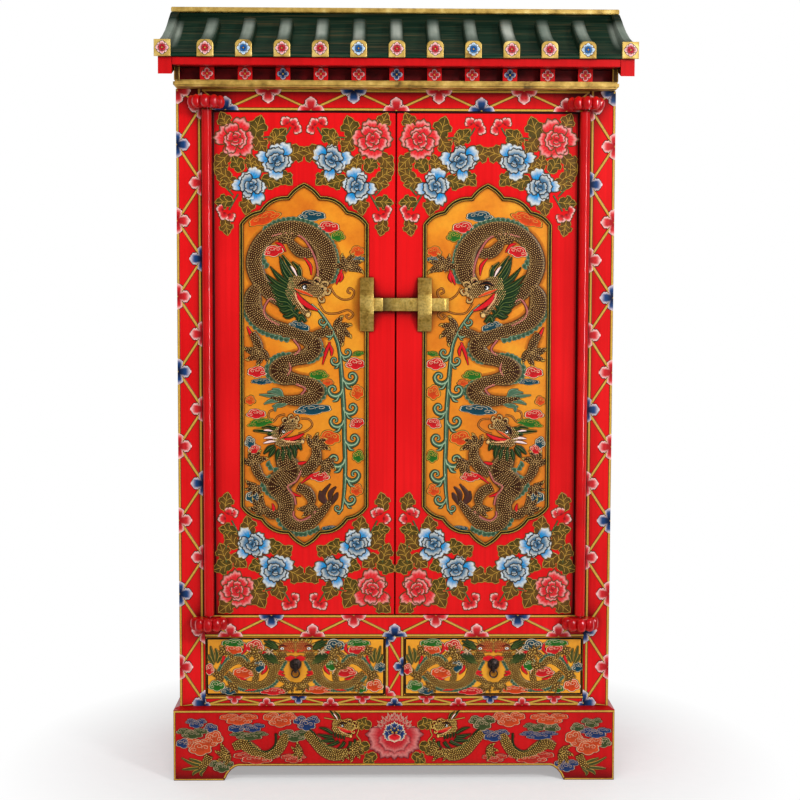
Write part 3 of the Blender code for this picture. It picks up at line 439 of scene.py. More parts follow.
# Forged iron, blackened and rubbed: nearly black with a brown cast and a low shine
IRON = mottled("blackened_iron", 4.0, 4.0, ((0.35, "#2A2422"), (0.65, "#5A4A44")),
               {"Metallic": 0.7, "Roughness": 0.42}, 0.2)
ELM = plain_elm("planed_elm", (0.03, 1.0, 1.0))
UPRIGHT_ELM = plain_elm("planed_elm_upright_grain", (1.0, 1.0, 0.025))
PAINT = painted_relief()
BY_SLOT = {"red_lacquer": SHADED_LACQUER, "amber_lacquer": AMBER, "dark_green_lacquer": RIM,
           "roof_green_paint": ROOF, "gold_paint": GOLD, "aged_brass": BRASS, "dark_iron": IRON,
           "plain_wood": ELM}
BY_NODE = {"frieze": SHADED_RECESS_LACQUER, "rafter_ends": RAFTER, "left_door_post": POST, "right_door_post": POST,
           "ridge_trim": LIT_GOLD, "back_panel": UPRIGHT_ELM}
FACES = ("left_door_board", "right_door_board", "left_stile", "right_stile", "top_rail", "middle_rail",
         "bottom_rail", "drawer_divider")


def finish_nodes():
    """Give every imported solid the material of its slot, and some a coat of their own."""
    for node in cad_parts.values():
        for entry in node.material_slots:
            entry.material = BY_SLOT[entry.material.name.split(".")[0]]
    for name, material in (*BY_NODE.items(), *((face, BRIGHT_LACQUER) for face in FACES)):
        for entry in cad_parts[name].material_slots:
            entry.material = material


# Meshes
def place_piece(name, mesh, body):
    piece = bpy.data.objects.new(name, mesh)
    bpy.context.collection.objects.link(piece)
    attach(piece, body)
    return piece


def finish_mesh(mesh, material, sharp):
    """Smooth shading but for edges that turn more than sharp degrees, and one material."""
    mesh.shade_smooth()
    mesh.set_sharp_from_angle(angle=math.radians(sharp))
    mesh.materials.append(material)


def quads(first, rows, count, closed=True):
    """Faces between rows of count points, numbered from first, with each row closed on itself or not."""
    faces = []
    for start in range(first, first + (rows - 1) * count, count):
        for c in range(count if closed else count - 1):
            a = start + c
            b = start + (c + 1) % count
            faces.append((a, b, b + count, a + count))
    return faces


def mesh_from(bm, name):
    mesh = bpy.data.meshes.new(name)
    bm.to_mesh(mesh)
    bm.free()
    return mesh


def ease_edges(node, body, width):
    """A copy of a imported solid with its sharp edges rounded, in its place."""
    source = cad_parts[node]
    bm = bmesh.new()
    bm.from_mesh(source.data)
    bmesh.ops.remove_doubles(bm, verts=bm.verts, dist=1e-6)
    bmesh.ops.dissolve_limit(bm, angle_limit=math.radians(2), verts=bm.verts, edges=bm.edges)
    sharp = [edge for edge in bm.edges
             if len(edge.link_faces) == 2 and edge.calc_face_angle() > math.radians(15)]
    bmesh.ops.bevel(bm, geom=sharp, offset=width * MM, segments=2, profile=0.5, affect="EDGES",
                    clamp_overlap=True)
    mesh = mesh_from(bm, node + "_eased")
    finish_mesh(mesh, source.material_slots[0].material, 40)
    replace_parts(place_piece(node + "_eased", mesh, body), node)


# Drawing on a flat face
STROKE = ((-1.0, -0.1), (-0.84, 0.70), (-0.62, 0.86), (0.0, 1.0), (0.62, 0.86), (0.84, 0.70), (1.0, -0.1))
LINE = ((-1.0, -0.1), (-0.5, 1.0), (0.5, 1.0), (1.0, -0.1))
SUNK = -0.1           # where an edge ends, under the board's face
RING = 1.3            # width of the dark line drawn round a figure


def smooth(points, steps):
    """A smooth run of points through the given ones; each may carry a width after its place."""
    ends = [points[0]] + list(points) + [points[-1]]
    run = []
    for a, b, c, d in zip(ends, ends[1:], ends[2:], ends[3:]):
        for k in range(steps):
            t = k / steps
            run.append(tuple(0.5 * (2 * q + (r - p) * t + (2 * p - 5 * q + 4 * r - s) * t * t
                                    + (3 * q - p - 3 * r + s) * t ** 3)
                             for p, q, r, s in zip(a, b, c, d)))
    run.append(tuple(points[-1]))
    return run


def normals(run):
    """The left-hand unit normal at each point of a run."""
    result = []
    for before, after in zip([run[0]] + run[:-1], run[1:] + [run[-1]]):
        dx = after[0] - before[0]
        dz = after[1] - before[1]
        length = math.hypot(dx, dz) or 1.0
        result.append((-dz / length, dx / length))
    return result


def moved(points, x, z, turn=0.0, size=1.0, flip=1.0):
    """Points scaled, mirrored across, turned and shifted; what follows a place is scaled as a width."""
    cos = math.cos(math.radians(turn)) * size
    sin = math.sin(math.radians(turn)) * size
    return [(x + flip * p[0] * cos - p[1] * sin, z + flip * p[0] * sin + p[1] * cos,
             *(w * size for w in p[2:])) for p in points]


def mirrored(points, x=0.0, z=0.0, flip=1, thin=1.0):
    """Points mirrored across by flip and shifted, with their widths thinned."""
    return [(x + flip * p[0], z + p[1], *(thin * w for w in p[2:])) for p in points]


def facing(turn, flip):
    """A direction in degrees, mirrored across by flip."""
    return turn if flip > 0 else 180 - turn


def even(points, half):
    """Give a line of points the same half width all along."""
    return [(p[0], p[1], half) for p in points]


def tapered(points, half):
    """Give a line of points a half width that swells to half and fades at both ends."""
    count = len(points) - 1
    return [(x, z, max(0.15, half * math.sin(math.pi * (0.06 + 0.88 * k / count)) ** 0.8))
            for k, (x, z) in enumerate(points)]


def middle_of(outline):
    """The mean place of an outline's points."""
    return [sum(p[axis] for p in outline) / len(outline) for axis in (0, 1)]


def mean_reach(outline, cx, cz):
    """How far an outline's points lie from a centre, on average."""
    return sum(math.hypot(p[0] - cx, p[1] - cz) for p in outline) / len(outline)


class Relief:
    """A painted relief drawn flat: each point has a place across and up, a height and a colour."""

    def __init__(self, ring=None, limits=None):
        self.points = []
        self.paints = []
        self.faces = []
        self.ring = ring
        self.limits = limits

    def weave(self, rows, paints, closed=False):
        """A sheet of quads through rows of points, with one colour for each point."""
        self.faces += quads(len(self.points), len(rows), len(rows[0]), closed)
        for row, row_paints in zip(rows, paints):
            for point, paint in zip(row, row_paints):
                self.points.append(self.kept(point))
                self.paints.append(paint)

    def kept(self, point):
        """A point drawn back to the edge of the board, if the drawing runs over it."""
        if self.limits is None:
            return point
        x0, x1, z0, z1 = self.limits
        return (min(max(point[0], x0), x1), min(max(point[1], z0), z1), point[2])

    def stroke(self, run, height, paint, edge=None, lift=0.0):
        """A rounded band along a run of (x, z, half width), with an edge of another colour if given."""
        shape = LINE if edge is None else STROKE
        ringed = self.ring is not None and edge is not None
        edge = edge or paint
        colours = [edge if abs(a) > 0.8 else paint for a, _ in shape]
        rows = []
        for (x, z, w), (nx, nz) in zip(run, normals(run)):
            row = [(w * a, lift + height * h) for a, h in shape]
            if ringed:
                row[0] = (-w, lift + 0.3)
                row[-1] = (w, lift + 0.3)
                row = [(-w - RING, SUNK)] + row + [(w + RING, SUNK)]
            rows.append([(x + nx * a, z + nz * a, h) for a, h in row])
        if ringed:
            colours = [self.ring, self.ring] + colours[1:-1] + [self.ring, self.ring]
        self.weave(rows, [colours] * len(rows))

    def rings(self, outline, centre, steps, height, lift):
        """An outline drawn in towards a centre in steps of (share of its size, share of height, paint)."""
        cx, cz = centre
        rows = [[(cx + (x - cx) * s, cz + (z - cz) * s, lift + height * h) for x, z in outline]
                for s, h, _ in steps]
        self.weave(rows, [[paint] * len(outline) for _, _, paint in steps], closed=True)

    def pad(self, outline, height, paint, core=None, edge=None, line=1.2, lift=0.0, centre=None):
        """A domed patch inside a closed outline, with a raised line along its edge if one is given."""
        cx, cz = centre or middle_of(outline)
        reach = mean_reach(outline, cx, cz)
        inner = max(0.3, 1 - line / reach)
        core = core or paint
        if self.ring is None:
            steps = [(1.0 + 0.2 / reach, SUNK, edge or paint)]
        else:
            steps = [(1.0 + RING / reach, SUNK, self.ring), (1.0, 0.2, self.ring)]
        steps.append((1 - 0.3 / reach, 0.65, edge or paint))
        if edge:
            steps += [(inner, 0.65, edge), (inner * 0.97, 0.52, paint)]
        steps += [(inner * 0.62, 0.85, mixed(paint, core, 0.5)), (inner * 0.3, 0.97, core), (0.02, 1.0, core)]
        self.rings(outline, (cx, cz), steps, height, lift)

    def dot(self, x, z, radius, height, paint, rim=None, sides=7, lift=0.0):
        """A small bead of paint."""
        turns = [2 * math.pi * k / sides for k in range(sides)]
        outline = [(x + radius * math.cos(a), z + radius * math.sin(a)) for a in turns]
        steps = ((1.0, SUNK, rim or paint), (0.72, 0.7, paint), (0.05, 1.0, paint))
        self.rings(outline, (x, z), steps, height, lift)

    def piece(self, name, body, slot, u, mirror=1.0):
        """Make the relief an object on the face at u, mirrored across if asked."""
        corners = []
        for face in self.faces:
            ring = [self.points[i] for i in face]
            area = sum(ring[i][0] * ring[i - 3][1] - ring[i - 3][0] * ring[i][1] for i in range(4))
            if abs(area) >= 1e-5:
                corners.append(face if area * mirror > 0 else face[::-1])
        mesh = bpy.data.meshes.new(name)
        places = [(mirror * x * MM, FRONT_Y - (u + h) * MM, z * MM) for x, z, h in self.points]
        mesh.from_pydata(places, [], corners)
        layer = mesh.attributes.new("paint", "FLOAT_COLOR", "POINT")
        layer.data.foreach_set("color", [v for paint in self.paints for v in (*paint, 1.0)])
        finish_mesh(mesh, PAINT, 55)
        place_piece(name, mesh, body)


def sheet(relief, x, z, turn, ranks, files, point):
    """Weave a petal that grows from (x, z) towards turn, and give its rows. For a share v of its length and
    a side a from -1 to 1, point says how far along and across it lies, how high, and in which paint."""
    cos = math.cos(math.radians(turn))
    sin = math.sin(math.radians(turn))
    rows = []
    paints = []
    for k in range(ranks + 1):
        spots = [point(k / ranks, 2 * c / files - 1) for c in range(files + 1)]
        rows.append([(x + along * cos - across * sin, z + along * sin + across * cos, height)
                     for along, across, height, _ in spots])
        paints.append([paint for *_, paint in spots])
    relief.weave(rows, paints)
    return rows


# Lattice of gold bands with flowers where they meet the edges
WARM_FLOWER = shades("#A80A12", "#DC2A30", "#F8D9D2")
COOL_FLOWER = shades("#0B1A3C", "#1F4C88", "#EFD9D8")
WIDEST = 0.62         # where a lattice petal is widest, as a share of its length
BAND = 5.2            # half width of a gold band
EDGE_BAND = 3.0       # half width of the gold line along a board's edge
# Lattices of the rails: heights, pitch, orders of red and blue flowers on the low and high edge, flower size
RAIL_LATTICES = ((TOP_RAIL, 102.0, ("RBR", "RRB"), 33.0), (MIDDLE_RAIL, 100.5, ("BRR", "RBR"), 32.0),
                 (BOTTOM_RAIL, 78.5, ("BRR", "RBR"), 21.0))
DIVIDER_PITCH = 72.0
DIVIDER_START = 207.0
DIVIDER_FLOWER = 25.0
# Lattices of the stiles: side, orders of the flowers, and the flower in the upper corner
STILE_LATTICES = (("left", -1.0, ("BRR", "RBR"), WARM_FLOWER),
                  ("right", 1.0, ("BBRRBRRBR", "RRB"), COOL_FLOWER))
STILE_PITCH = 90.5
STILE_START = 187.5
STILE_FLOWER = 33.0
STILE_SEAM = 2.2      # from a stile's inner edge to the middle of the painted shade along the gap beside the door
STILE_INSET = 7.4     # and to the middle of the gold line that clears it


def lobe(relief, x, z, turn, length, width, colours, height, lift=0.0):
    """One rounded petal: deep at its root, paler outwards, with a bumpy pale edge in a fine dark line."""
    deep, middle, pale = colours

    def point(v, a):
        if v < WIDEST:
            spread = 0.44 + 0.56 * math.sin(math.pi / 2 * v / WIDEST)
        else:
            spread = math.sqrt(max(0.0, 1 - ((v - WIDEST) / 0.4) ** 2))
        along = length * v * (1 - 0.08 * a * a * v)
        across = width * spread * a * (1 + 0.09 * math.cos(v * 25.0) * abs(a))
        if abs(a) > 0.9 or v == 1.0:
            return along, across, lift + height * SUNK, pale
        shade = mixed(deep, middle, clamped(v * 1.7 - 0.3))
        share = max((abs(a) - 0.5) * 2.2 * min(1.0, v * 1.8), (v - 0.66) * 3.0)
        return along, across, lift + height * (0.75 + 0.25 * (1 - a * a)), mixed(shade, pale, clamped(share))

    rows = sheet(relief, x, z, turn, 10, 8, point)
    border = [row[0] for row in rows[1:]] + [row[-1] for row in reversed(rows[1:])]
    relief.stroke(even(border, 0.9), 0.4, DARK_LINE, None, lift + 0.2)


def lattice_flower(relief, x, z, size, colours, turns, height=1.1):
    """Rounded petals apart from each other round a gold eye."""
    for turn in turns:
        lobe(relief, x, z, turn, size, size * 0.45, colours, height, 0.25)
    relief.dot(x, z, size * 0.17, height + 0.5, GILT, BROWN_LINE, 8)


def flower_colours(order, k):
    """The paints of an edge's flower at the lattice's turn k, from its order of red and blue ones."""
    return COOL_FLOWER if order[(k // 2) % len(order)] == "B" else WARM_FLOWER


def gold_line(relief, start, end, half=BAND, height=0.9):
    relief.stroke([(*start, half), (*end, half)], height, GOLD_LINE, BROWN_LINE)


def rail_lattice(relief, heights, pitch, orders, size):
    """Zigzag bands along a rail, flowers on both edges, and a gold line along each edge."""
    low, high = heights
    relief.limits = (-OPENING, OPENING, low, high)
    steps = int(2 * OPENING / pitch) + 2
    start = -steps // 2
    turns = [(k * pitch, heights[k % 2]) for k in range(start, start + steps + 2)]
    for here, there in zip(turns, turns[1:]):
        if abs(here[0]) < OPENING + pitch and abs(there[0]) < OPENING + pitch:
            gold_line(relief, here, there)
    for z in (low + EDGE_BAND, high - EDGE_BAND):
        gold_line(relief, (-OPENING, z), (OPENING, z), EDGE_BAND)
    for k in range(start, start + steps + 1):
        if abs(k * pitch) <= OPENING + size:
            lattice_flower(relief, k * pitch, heights[k % 2], size, flower_colours(orders[k % 2], k),
                           (0, 180, 270) if k % 2 else (0, 90, 180))


def upright_lattice(relief, edges, heights, pitch, start, orders, size, inset=EDGE_BAND):
    """The same lattice up a stile: bands from edge to edge, with flowers at each turn."""
    relief.limits = (*edges, *heights)
    count = int((heights[1] - start) / pitch) + 2
    turns = [(edges[k % 2], start + pitch * k) for k in range(-1, count)]
    for here, there in zip(turns, turns[1:]):
        gold_line(relief, here, there)
    for x in (edges[0] + inset, edges[1] - EDGE_BAND):
        gold_line(relief, (x, heights[0]), (x, heights[1]), EDGE_BAND)
    for k in range(count):
        lattice_flower(relief, edges[k % 2], start + pitch * k, size, flower_colours(orders[k % 2], k),
                       (90, 180, 270) if k % 2 else (0, 90, 270))


def make_lattice():
    """Gold lattice and flowers over the face frame."""
    rails = Relief(DARK_RED)
    for lattice in RAIL_LATTICES:
        rail_lattice(rails, *lattice)
    rails.piece("rail_lattice", "cabinet", "gold_paint", 0.0)
    divider = Relief(DARK_RED)
    upright_lattice(divider, (-DIVIDER, DIVIDER), (BOTTOM_RAIL[1], MIDDLE_RAIL[0]), DIVIDER_PITCH,
                    DIVIDER_START, ("RBB", "BRB"), DIVIDER_FLOWER)
    divider.piece("divider_lattice", "cabinet", "gold_paint", 0.0)
    seam = OPENING + STILE_SEAM
    for word, side, orders, corner in STILE_LATTICES:
        stile = Relief(DARK_RED)
        upright_lattice(stile, (OPENING, HALF), (PLINTH_TOP, TOP_RAIL[1]), STILE_PITCH, STILE_START, orders,
                        STILE_FLOWER, STILE_INSET)
        # Painted shade along the gap beside the door
        stile.stroke(even(((seam, MIDDLE_RAIL[1]), (seam, TOP_RAIL[0])), 2.0), 1.8, GAP_SHADE)
        lattice_flower(stile, HALF - 3.0, TOP_RAIL[1] - 4.0, STILE_FLOWER, corner, (180, 270))
        stile.piece(word + "_stile_lattice", "cabinet", "gold_paint", 0.0, side)


# Roof
RIB_CENTRES = [-CORNER_RIB, *(RIB_PITCH * k for k in range(-5, 6)), CORNER_RIB]
CAP_COLOURS = "RRBRRBRRBRRBR"
WARM_CAP = shades("#C44450", "#E08E92", "#F6E6DE")
WARM_HEART = shades("#7E0812", "#C01C28", "#DC4650")
COOL_CAP = shades("#4088BE", "#9CC0DA", "#F2EAE2")
COOL_HEART = shades("#082454", "#125AA0", "#3484C0")
LATH_HEIGHT = 6.0
STRIP_X = 518.0       # middle of the brown strip at each end of the frieze


def plaque(verts, faces, outline, depth, ease):
    """A flat plate with an eased front edge, added to a mesh's lists as (x, u, z)."""
    count = len(outline)
    cx, cz = middle_of(outline)
    reach = mean_reach(outline, cx, cz)
    first = len(verts)
    for scale, u in ((1.0, 0.0), (1.0, depth - ease), (1 - 0.3 * ease / reach, depth - 0.3 * ease),
                     (1 - ease / reach, depth)):
        verts += [(cx + (x - cx) * scale, u, cz + (z - cz) * scale) for x, z in outline]
    faces += quads(first, 4, count)
    faces.append(tuple(range(first + 3 * count, first + 4 * count)))
    faces.append(tuple(reversed(range(first, first + count))))


def make_tile_ends():
    """The gilt tile ends, arched but for the two at the corners, and the green lath they stand on."""
    low, high = CAPS_Z
    size = high - low
    half = size / 2
    turn = size * 0.31
    front, back = (-y for y in span("tile_caps", "y"))
    depth = front - back
    verts = []
    faces = []
    for x in RIB_CENTRES:
        outline = [(x - half, low), (x + half, low)]
        if abs(x) == CORNER_RIB:
            outline += [(x + half, low + size), (x - half, low + size)]
        else:
            arch = [(math.cos(math.radians(a)), math.sin(math.radians(a))) for a in range(0, 91, 15)]
            right = [(x + half - turn + turn * c, low + size - turn + turn * s) for c, s in arch]
            outline += right + [(2 * x - px, pz) for px, pz in reversed(right)]
        plaque(verts, faces, outline, depth, 1.6)
    gilt = len(faces)
    top = low + LATH_HEIGHT
    lath = [(-CORNER_RIB, low), (CORNER_RIB, low), (CORNER_RIB, top), (-CORNER_RIB, top)]
    plaque(verts, faces, lath, depth * 0.4, 0.8)
    mesh = bpy.data.meshes.new("tile_ends")
    mesh.from_pydata([(x * MM, -(back + u) * MM, z * MM) for x, u, z in verts], [], faces)
    mesh.materials.append(LIT_GOLD)
    mesh.materials.append(ROOF)
    for face in mesh.polygons:
        face.material_index = 0 if face.index < gilt else 1
    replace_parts(place_piece("tile_ends", mesh, "cabinet"), "tile_caps")


def make_cap_flowers():
    """A flower on every tile end and rafter end, and brown strips at the ends of the frieze."""
    caps = Relief()
    middle = sum(CAPS_Z) / 2
    for x, colour in zip(RIB_CENTRES, CAP_COLOURS):
        outer, heart = (COOL_CAP, COOL_HEART) if colour == "B" else (WARM_CAP, WARM_HEART)
        for turn in range(0, 360, 45):
            length, lift = (14.8, 0.0) if turn % 90 else (16.4, 0.2)
            lobe(caps, x, middle, turn, length, 6.0, outer, 0.8, lift)
        for turn in range(45, 360, 90):
            lobe(caps, x, middle, turn, 8.8, 4.6, heart, 0.8, 0.8)
        caps.dot(x, middle, 2.8, 2.2, GILT, BROWN_LINE, 8)
    caps.piece("tile_end_flowers", "cabinet", "gold_paint", CAPS_U)
    ends = Relief()
    middle = sum(RAFTER_Z) / 2
    for x, colour in zip(RIB_CENTRES[1:-1], CAP_COLOURS):
        for turn in range(0, 360, 90):
            lobe(ends, x, middle, turn, 14.4, 6.6, COOL_FLOWER if colour == "B" else WARM_FLOWER, 1.0)
        ends.dot(x, middle, 2.8, 1.8, GILT, BROWN_LINE, 8)
    ends.piece("rafter_end_flowers", "cabinet", "gold_paint", RAFTER_U)
    strips = Relief()
    for x in (-STRIP_X, STRIP_X):
        strips.stroke([(x, z, 6.4) for z in RAFTER_Z], 0.9, BROWN_LINE, GOLD_LINE)
    strips.piece("frieze_end_strips", "cabinet", "gold_paint", RAFTER_U)


# Beaded sockets of the door posts
BEADS = 10
BEAD_RING = 35.2
BEAD_HALF = 11.4
BLOCK_RADIUS = 30.0
BLOCK_BELLY = 33.0
BLOCK_SWEEP = 104.0   # degrees that the block goes round to each side of its front
BORE_RADIUS = 8.0
BORE_END = 19.0       # from the block's mouth to the end of its blind bore


def bead_mesh(verts, faces, centre, half, tall, squareness):
    """One egg-shaped bead added to a mesh's lists."""
    rings = 10
    sides = 14
    first = len(verts)
    for r in range(rings + 1):
        rise = -math.pi / 2 + math.pi * r / rings
        level = math.copysign(abs(math.sin(rise)) ** squareness, math.sin(rise))
        girth = max(0.0, math.cos(rise)) ** squareness
        for s in range(sides):
            turn = 2 * math.pi * s / sides
            verts.append((centre[0] + half * girth * math.cos(turn),
                          centre[1] + half * girth * math.sin(turn), centre[2] + tall * level))
    faces += quads(first, rings + 1, sides)


def make_socket(node, side):
    """A half ring of beads round a turned block with a blind bore for the door's pin."""
    low, high = span(node)
    top = node.endswith("top_socket")
    mouth, far, inward = (low, high, 1) if top else (high, low, -1)
    verts = []
    faces = []
    x = side * POST_X
    y = FRONT_Y / MM - POST_U
    middle = (low + high) / 2
    for k in range(-2, 3):
        turn = math.radians(360 / BEADS * k)
        centre = (x + BEAD_RING * math.sin(turn), y - BEAD_RING * math.cos(turn), middle)
        bead_mesh(verts, faces, centre, BEAD_HALF, (high - low) / 2.1, 0.95 if top else 0.7)
    lip = mouth + inward * 2
    bore_end = mouth + inward * BORE_END
    profile = ((0.0, far - inward * 3), (BLOCK_RADIUS, far - inward * 3), (BLOCK_BELLY, middle),
               (BLOCK_RADIUS, lip), (BORE_RADIUS, lip), (BORE_RADIUS, bore_end), (0.0, bore_end))
    steps = 20
    first = len(verts)
    for k in range(steps + 1):
        turn = math.radians(-BLOCK_SWEEP + 2 * BLOCK_SWEEP * k / steps)
        verts += [(x + radius * math.sin(turn), y - radius * math.cos(turn), z) for radius, z in profile]
    count = len(profile)
    faces += quads(first, steps + 1, count, closed=False)
    faces += [tuple(range(first, first + count)), tuple(range(first + steps * count, len(verts)))]
    mesh = bpy.data.meshes.new(node + "_beads")
    mesh.from_pydata([Vector(v) * MM for v in verts], [], faces)
    mesh.validate()
    finish_mesh(mesh, CHERRY, 45)
    piece = place_piece(node + "_beads", mesh, "cabinet")
    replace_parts(piece, node)


def make_post(word, side):
    """A door's round post turned smooth, flat where it meets the board, with a pin at each end."""
    node = word + "_door_post"
    low, high = span(node)
    flat = math.pi - math.acos((POST_U - 0.3) / POST_RADIUS)
    rods = ((POST_RADIUS, flat, 49, low + PIN_LENGTH, high - PIN_LENGTH),
            (PIN_RADIUS, math.pi, 17, low, low + PIN_LENGTH),
            (PIN_RADIUS, math.pi, 17, high - PIN_LENGTH, high))
    bm = bmesh.new()
    for radius, sweep, count, foot, head in rods:
        turns = [sweep * (2 * k / (count - 1) - 1) for k in range(count if sweep < math.pi else count - 1)]
        rings = [[bm.verts.new(Vector((side * POST_X + radius * math.sin(a),
                                       FRONT_Y / MM - POST_U - radius * math.cos(a), z)) * MM) for a in turns]
                 for z in (foot, head)]
        for k in range(len(turns)):
            bm.faces.new((rings[0][k - 1], rings[0][k], rings[1][k], rings[1][k - 1]))
        for ring in rings:
            bm.faces.new(ring)
    bmesh.ops.recalc_face_normals(bm, faces=bm.faces)
    mesh = mesh_from(bm, node + "_turned")
    finish_mesh(mesh, POST, 30)
    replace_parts(place_piece(node + "_turned", mesh, word + "_door"), node)


# Peonies, leaves and buds in the corners of the doors
def petal(relief, x, z, turn, root, tip, width, lift, height, paints, frill=0.07, paling=0.56, line=0.75):
    """One broad petal: dark at its root, deep along its middle, pale at a frilled edge with a fine line."""
    dark, deep, pale, edge = paints

    def point(v, a):
        along = root + (tip - root) * v * (1 - 0.26 * a * a * v + frill * math.cos(a * 8.2) * v ** 3)
        across = width * a * (0.30 + 0.70 * math.sin(math.pi / 2 * min(1.0, v * 1.3)))
        if abs(a) > 0.95 or v == 1.0:
            return along, across, lift + height * 0.1, edge
        shade = mixed(dark, deep, clamped(v * 3.6 - 0.3))
        share = max((v - paling - 0.02 * math.cos(a * 16)) * 2.8, (abs(a) - 0.78) * 2.0 * v)
        rise = 0.50 + 0.50 * v * (1 - 0.5 * a * a)
        return along, across, lift + height * rise, mixed(shade, pale, clamped(share))

    rows = sheet(relief, x, z, turn, 7, 10, point)
    border = [row[0] for row in rows[3:-1]] + rows[-1] + [row[-1] for row in reversed(rows[3:-1])]
    relief.stroke(even(border, line), 0.5, edge, None, lift + height * 0.3)


WARM_PEONY = (DEEP_RED, *shades("#DE2028", "#F6CFC6", "#5E3E16"))
WARM_CUP = (DEEP_RED, *shades("#D81E28", "#F8DCD4", "#5E3E16"))
COOL_PEONY = shades("#004478", "#0488C8", "#DEDED6", "#4E3A18")
COOL_CUP = shades("#0C1A2C", "#3E6E90", "#C8CAC4", "#221E1A")
PEONIES = {"red": (WARM_PEONY, WARM_CUP, 0.70), "blue": (COOL_PEONY, COOL_CUP, 0.54)}
# Rings of petals from the outside in: how many, root, tip and half width as shares of the radius, and lift
PEONY_RINGS = ((6, 0.10, 1.0, 0.38, 0.0), (5, 0.06, 0.68, 0.30, 0.7), (4, 0.0, 0.40, 0.20, 1.3),
               (2, 0.0, 0.2, 0.12, 1.8))


def peony(relief, x, z, radius, colour, turn):
    """A ragged peony: an open ring of petals, a fuller one over it, and a cup of small petals inside."""
    outer, cup, paling = PEONIES[colour]
    for ring, (count, root, tip, width, lift) in enumerate(PEONY_RINGS):
        for k in range(count):
            angle = turn + 360 / count * k + 31 * ring + 13 * math.sin(2.3 * k + turn)
            reach = radius * tip * (1 + 0.15 * math.sin(3.1 * k + turn + ring))
            breadth = radius * width * (1 + 0.18 * math.sin(4.3 * k + turn))
            petal(relief, x, z, angle, radius * root, reach, breadth, lift, 1.2, cup if ring else outer,
                  0.07, paling, 1.15)


# A leaf's half outline and its veins, in hundredths of its length
LEAF_SHAPE = ((0, 0.0), (8, 22), (26, 30), (38, 26), (44, 40), (62, 38), (70, 24), (84, 18), (100, 0))
VEINS = (((6, 0), (50, 2), (94, 0)), ((28, 0), (40, 10), (48, 28)), ((28, 0), (40, -10), (48, -28)),
         ((52, 0), (62, 8), (70, 18)), ((52, 0), (62, -8), (70, -18)))


def leaf(relief, x, z, turn, length, paint):
    """A lobed leaf with gold veins and a gold edge, growing from its stalk towards turn."""
    half = [(p * length / 100, q * length / 100) for p, q in LEAF_SHAPE]
    outline = moved(half + [(p, -q) for p, q in reversed(half[1:-1])], x, z, turn)
    centre = moved([(length * 0.48, 0.0)], x, z, turn)[0]
    relief.pad(outline, 0.9, paint, mixed(paint, GILT, 0.12), GOLD_LINE, 0.9, 0.0, centre)
    for vein in VEINS:
        run = moved([(p * length / 100, q * length / 100, 0.55) for p, q in vein], x, z, turn)
        relief.stroke(smooth(run, 3), 0.45, GOLD_LINE, None, 0.8)


def bud(relief, x, z, turn, size):
    """A half-open bud of three pink petals."""
    for spread, reach, lift in ((-38, 0.86, 0.0), (38, 0.86, 0.0), (0, 1.0, 0.3)):
        petal(relief, x, z, turn + spread, 0.0, size * reach, size * 0.34, lift, 1.2, WARM_PEONY, 0.03)


def stem(relief, points):
    relief.stroke(smooth(even(points, 1.5), 5), 0.8, STEM, BROWN_LINE)


# Clouds, vine and dragons
CLOUDS = {"orange": ORANGE, "red": FLAME, "teal": TEAL, "green": CLOUD_GREEN, "navy": NAVY, "olive": OLIVE}
# Puffs of a cloud, as shares of its half size: place and radius
PUFFS = (
    (-0.12, 0.34, 0.62), (-0.54, -0.14, 0.46), (0.44, 0.16, 0.5), (0.64, -0.24, 0.34), (0.02, -0.42, 0.5)
)


def cloud(relief, x, z, half_w, half_h, paint, line, turn=0.0, lift=0.2):
    """A bank of cloud: round puffs inside one raised line, with a curl in each of the three largest."""
    flip = -1 if int(abs(x) + abs(z)) % 2 else 1
    fine = min(1.5, 0.075 * half_h)
    outline = []
    for k in range(48):
        angle = 2 * math.pi * k / 48
        dx = math.cos(angle)
        dz = math.sin(angle)
        reach = 0.0
        for px, pz, radius in PUFFS:
            along = px * dx + pz * dz
            inside = radius * radius - (px * px + pz * pz - along * along)
            if inside > 0:
                reach = max(reach, along + math.sqrt(inside))
        outline.append((flip * half_w * reach * dx, half_h * reach * dz))
    relief.pad(moved(outline, x, z, turn), 1.6, paint, mixed(paint, BLACK, 0.25), line, fine, lift)
    for px, pz, radius in PUFFS[:3]:
        spiral = []
        for k in range(12):
            angle = math.radians(200 - 40 * k)
            bend = radius * (0.66 - 0.05 * k)
            spiral.append((flip * half_w * (px + bend * math.cos(angle)),
                           half_h * (pz + bend * math.sin(angle)), fine / 2))
        relief.stroke(moved(spiral, x, z, turn), 0.6, line, None, lift + 1.1)


def tongue(relief, points, half, paint, edge, height=1.6, lift=0.2):
    """A flame, hair or feather: one tapered stroke."""
    relief.stroke(smooth(tapered(points, half), 6), height, paint, edge, lift)


def tongues(relief, lines, *strokes):
    for points in lines:
        tongue(relief, points, *strokes)


def bands(relief, lines, half, height, paint, edge, lift):
    """Smooth bands of one width: bellies, crests and whiskers."""
    for points in lines:
        relief.stroke(smooth(even(points, half), 6), height, paint, edge, lift)


TOOTH = ((-3.0, -5.6), (1.0, -5.0), (3.8, -2.6), (5.0, 1.0), (3.4, 3.4), (-3.0, 5.6))


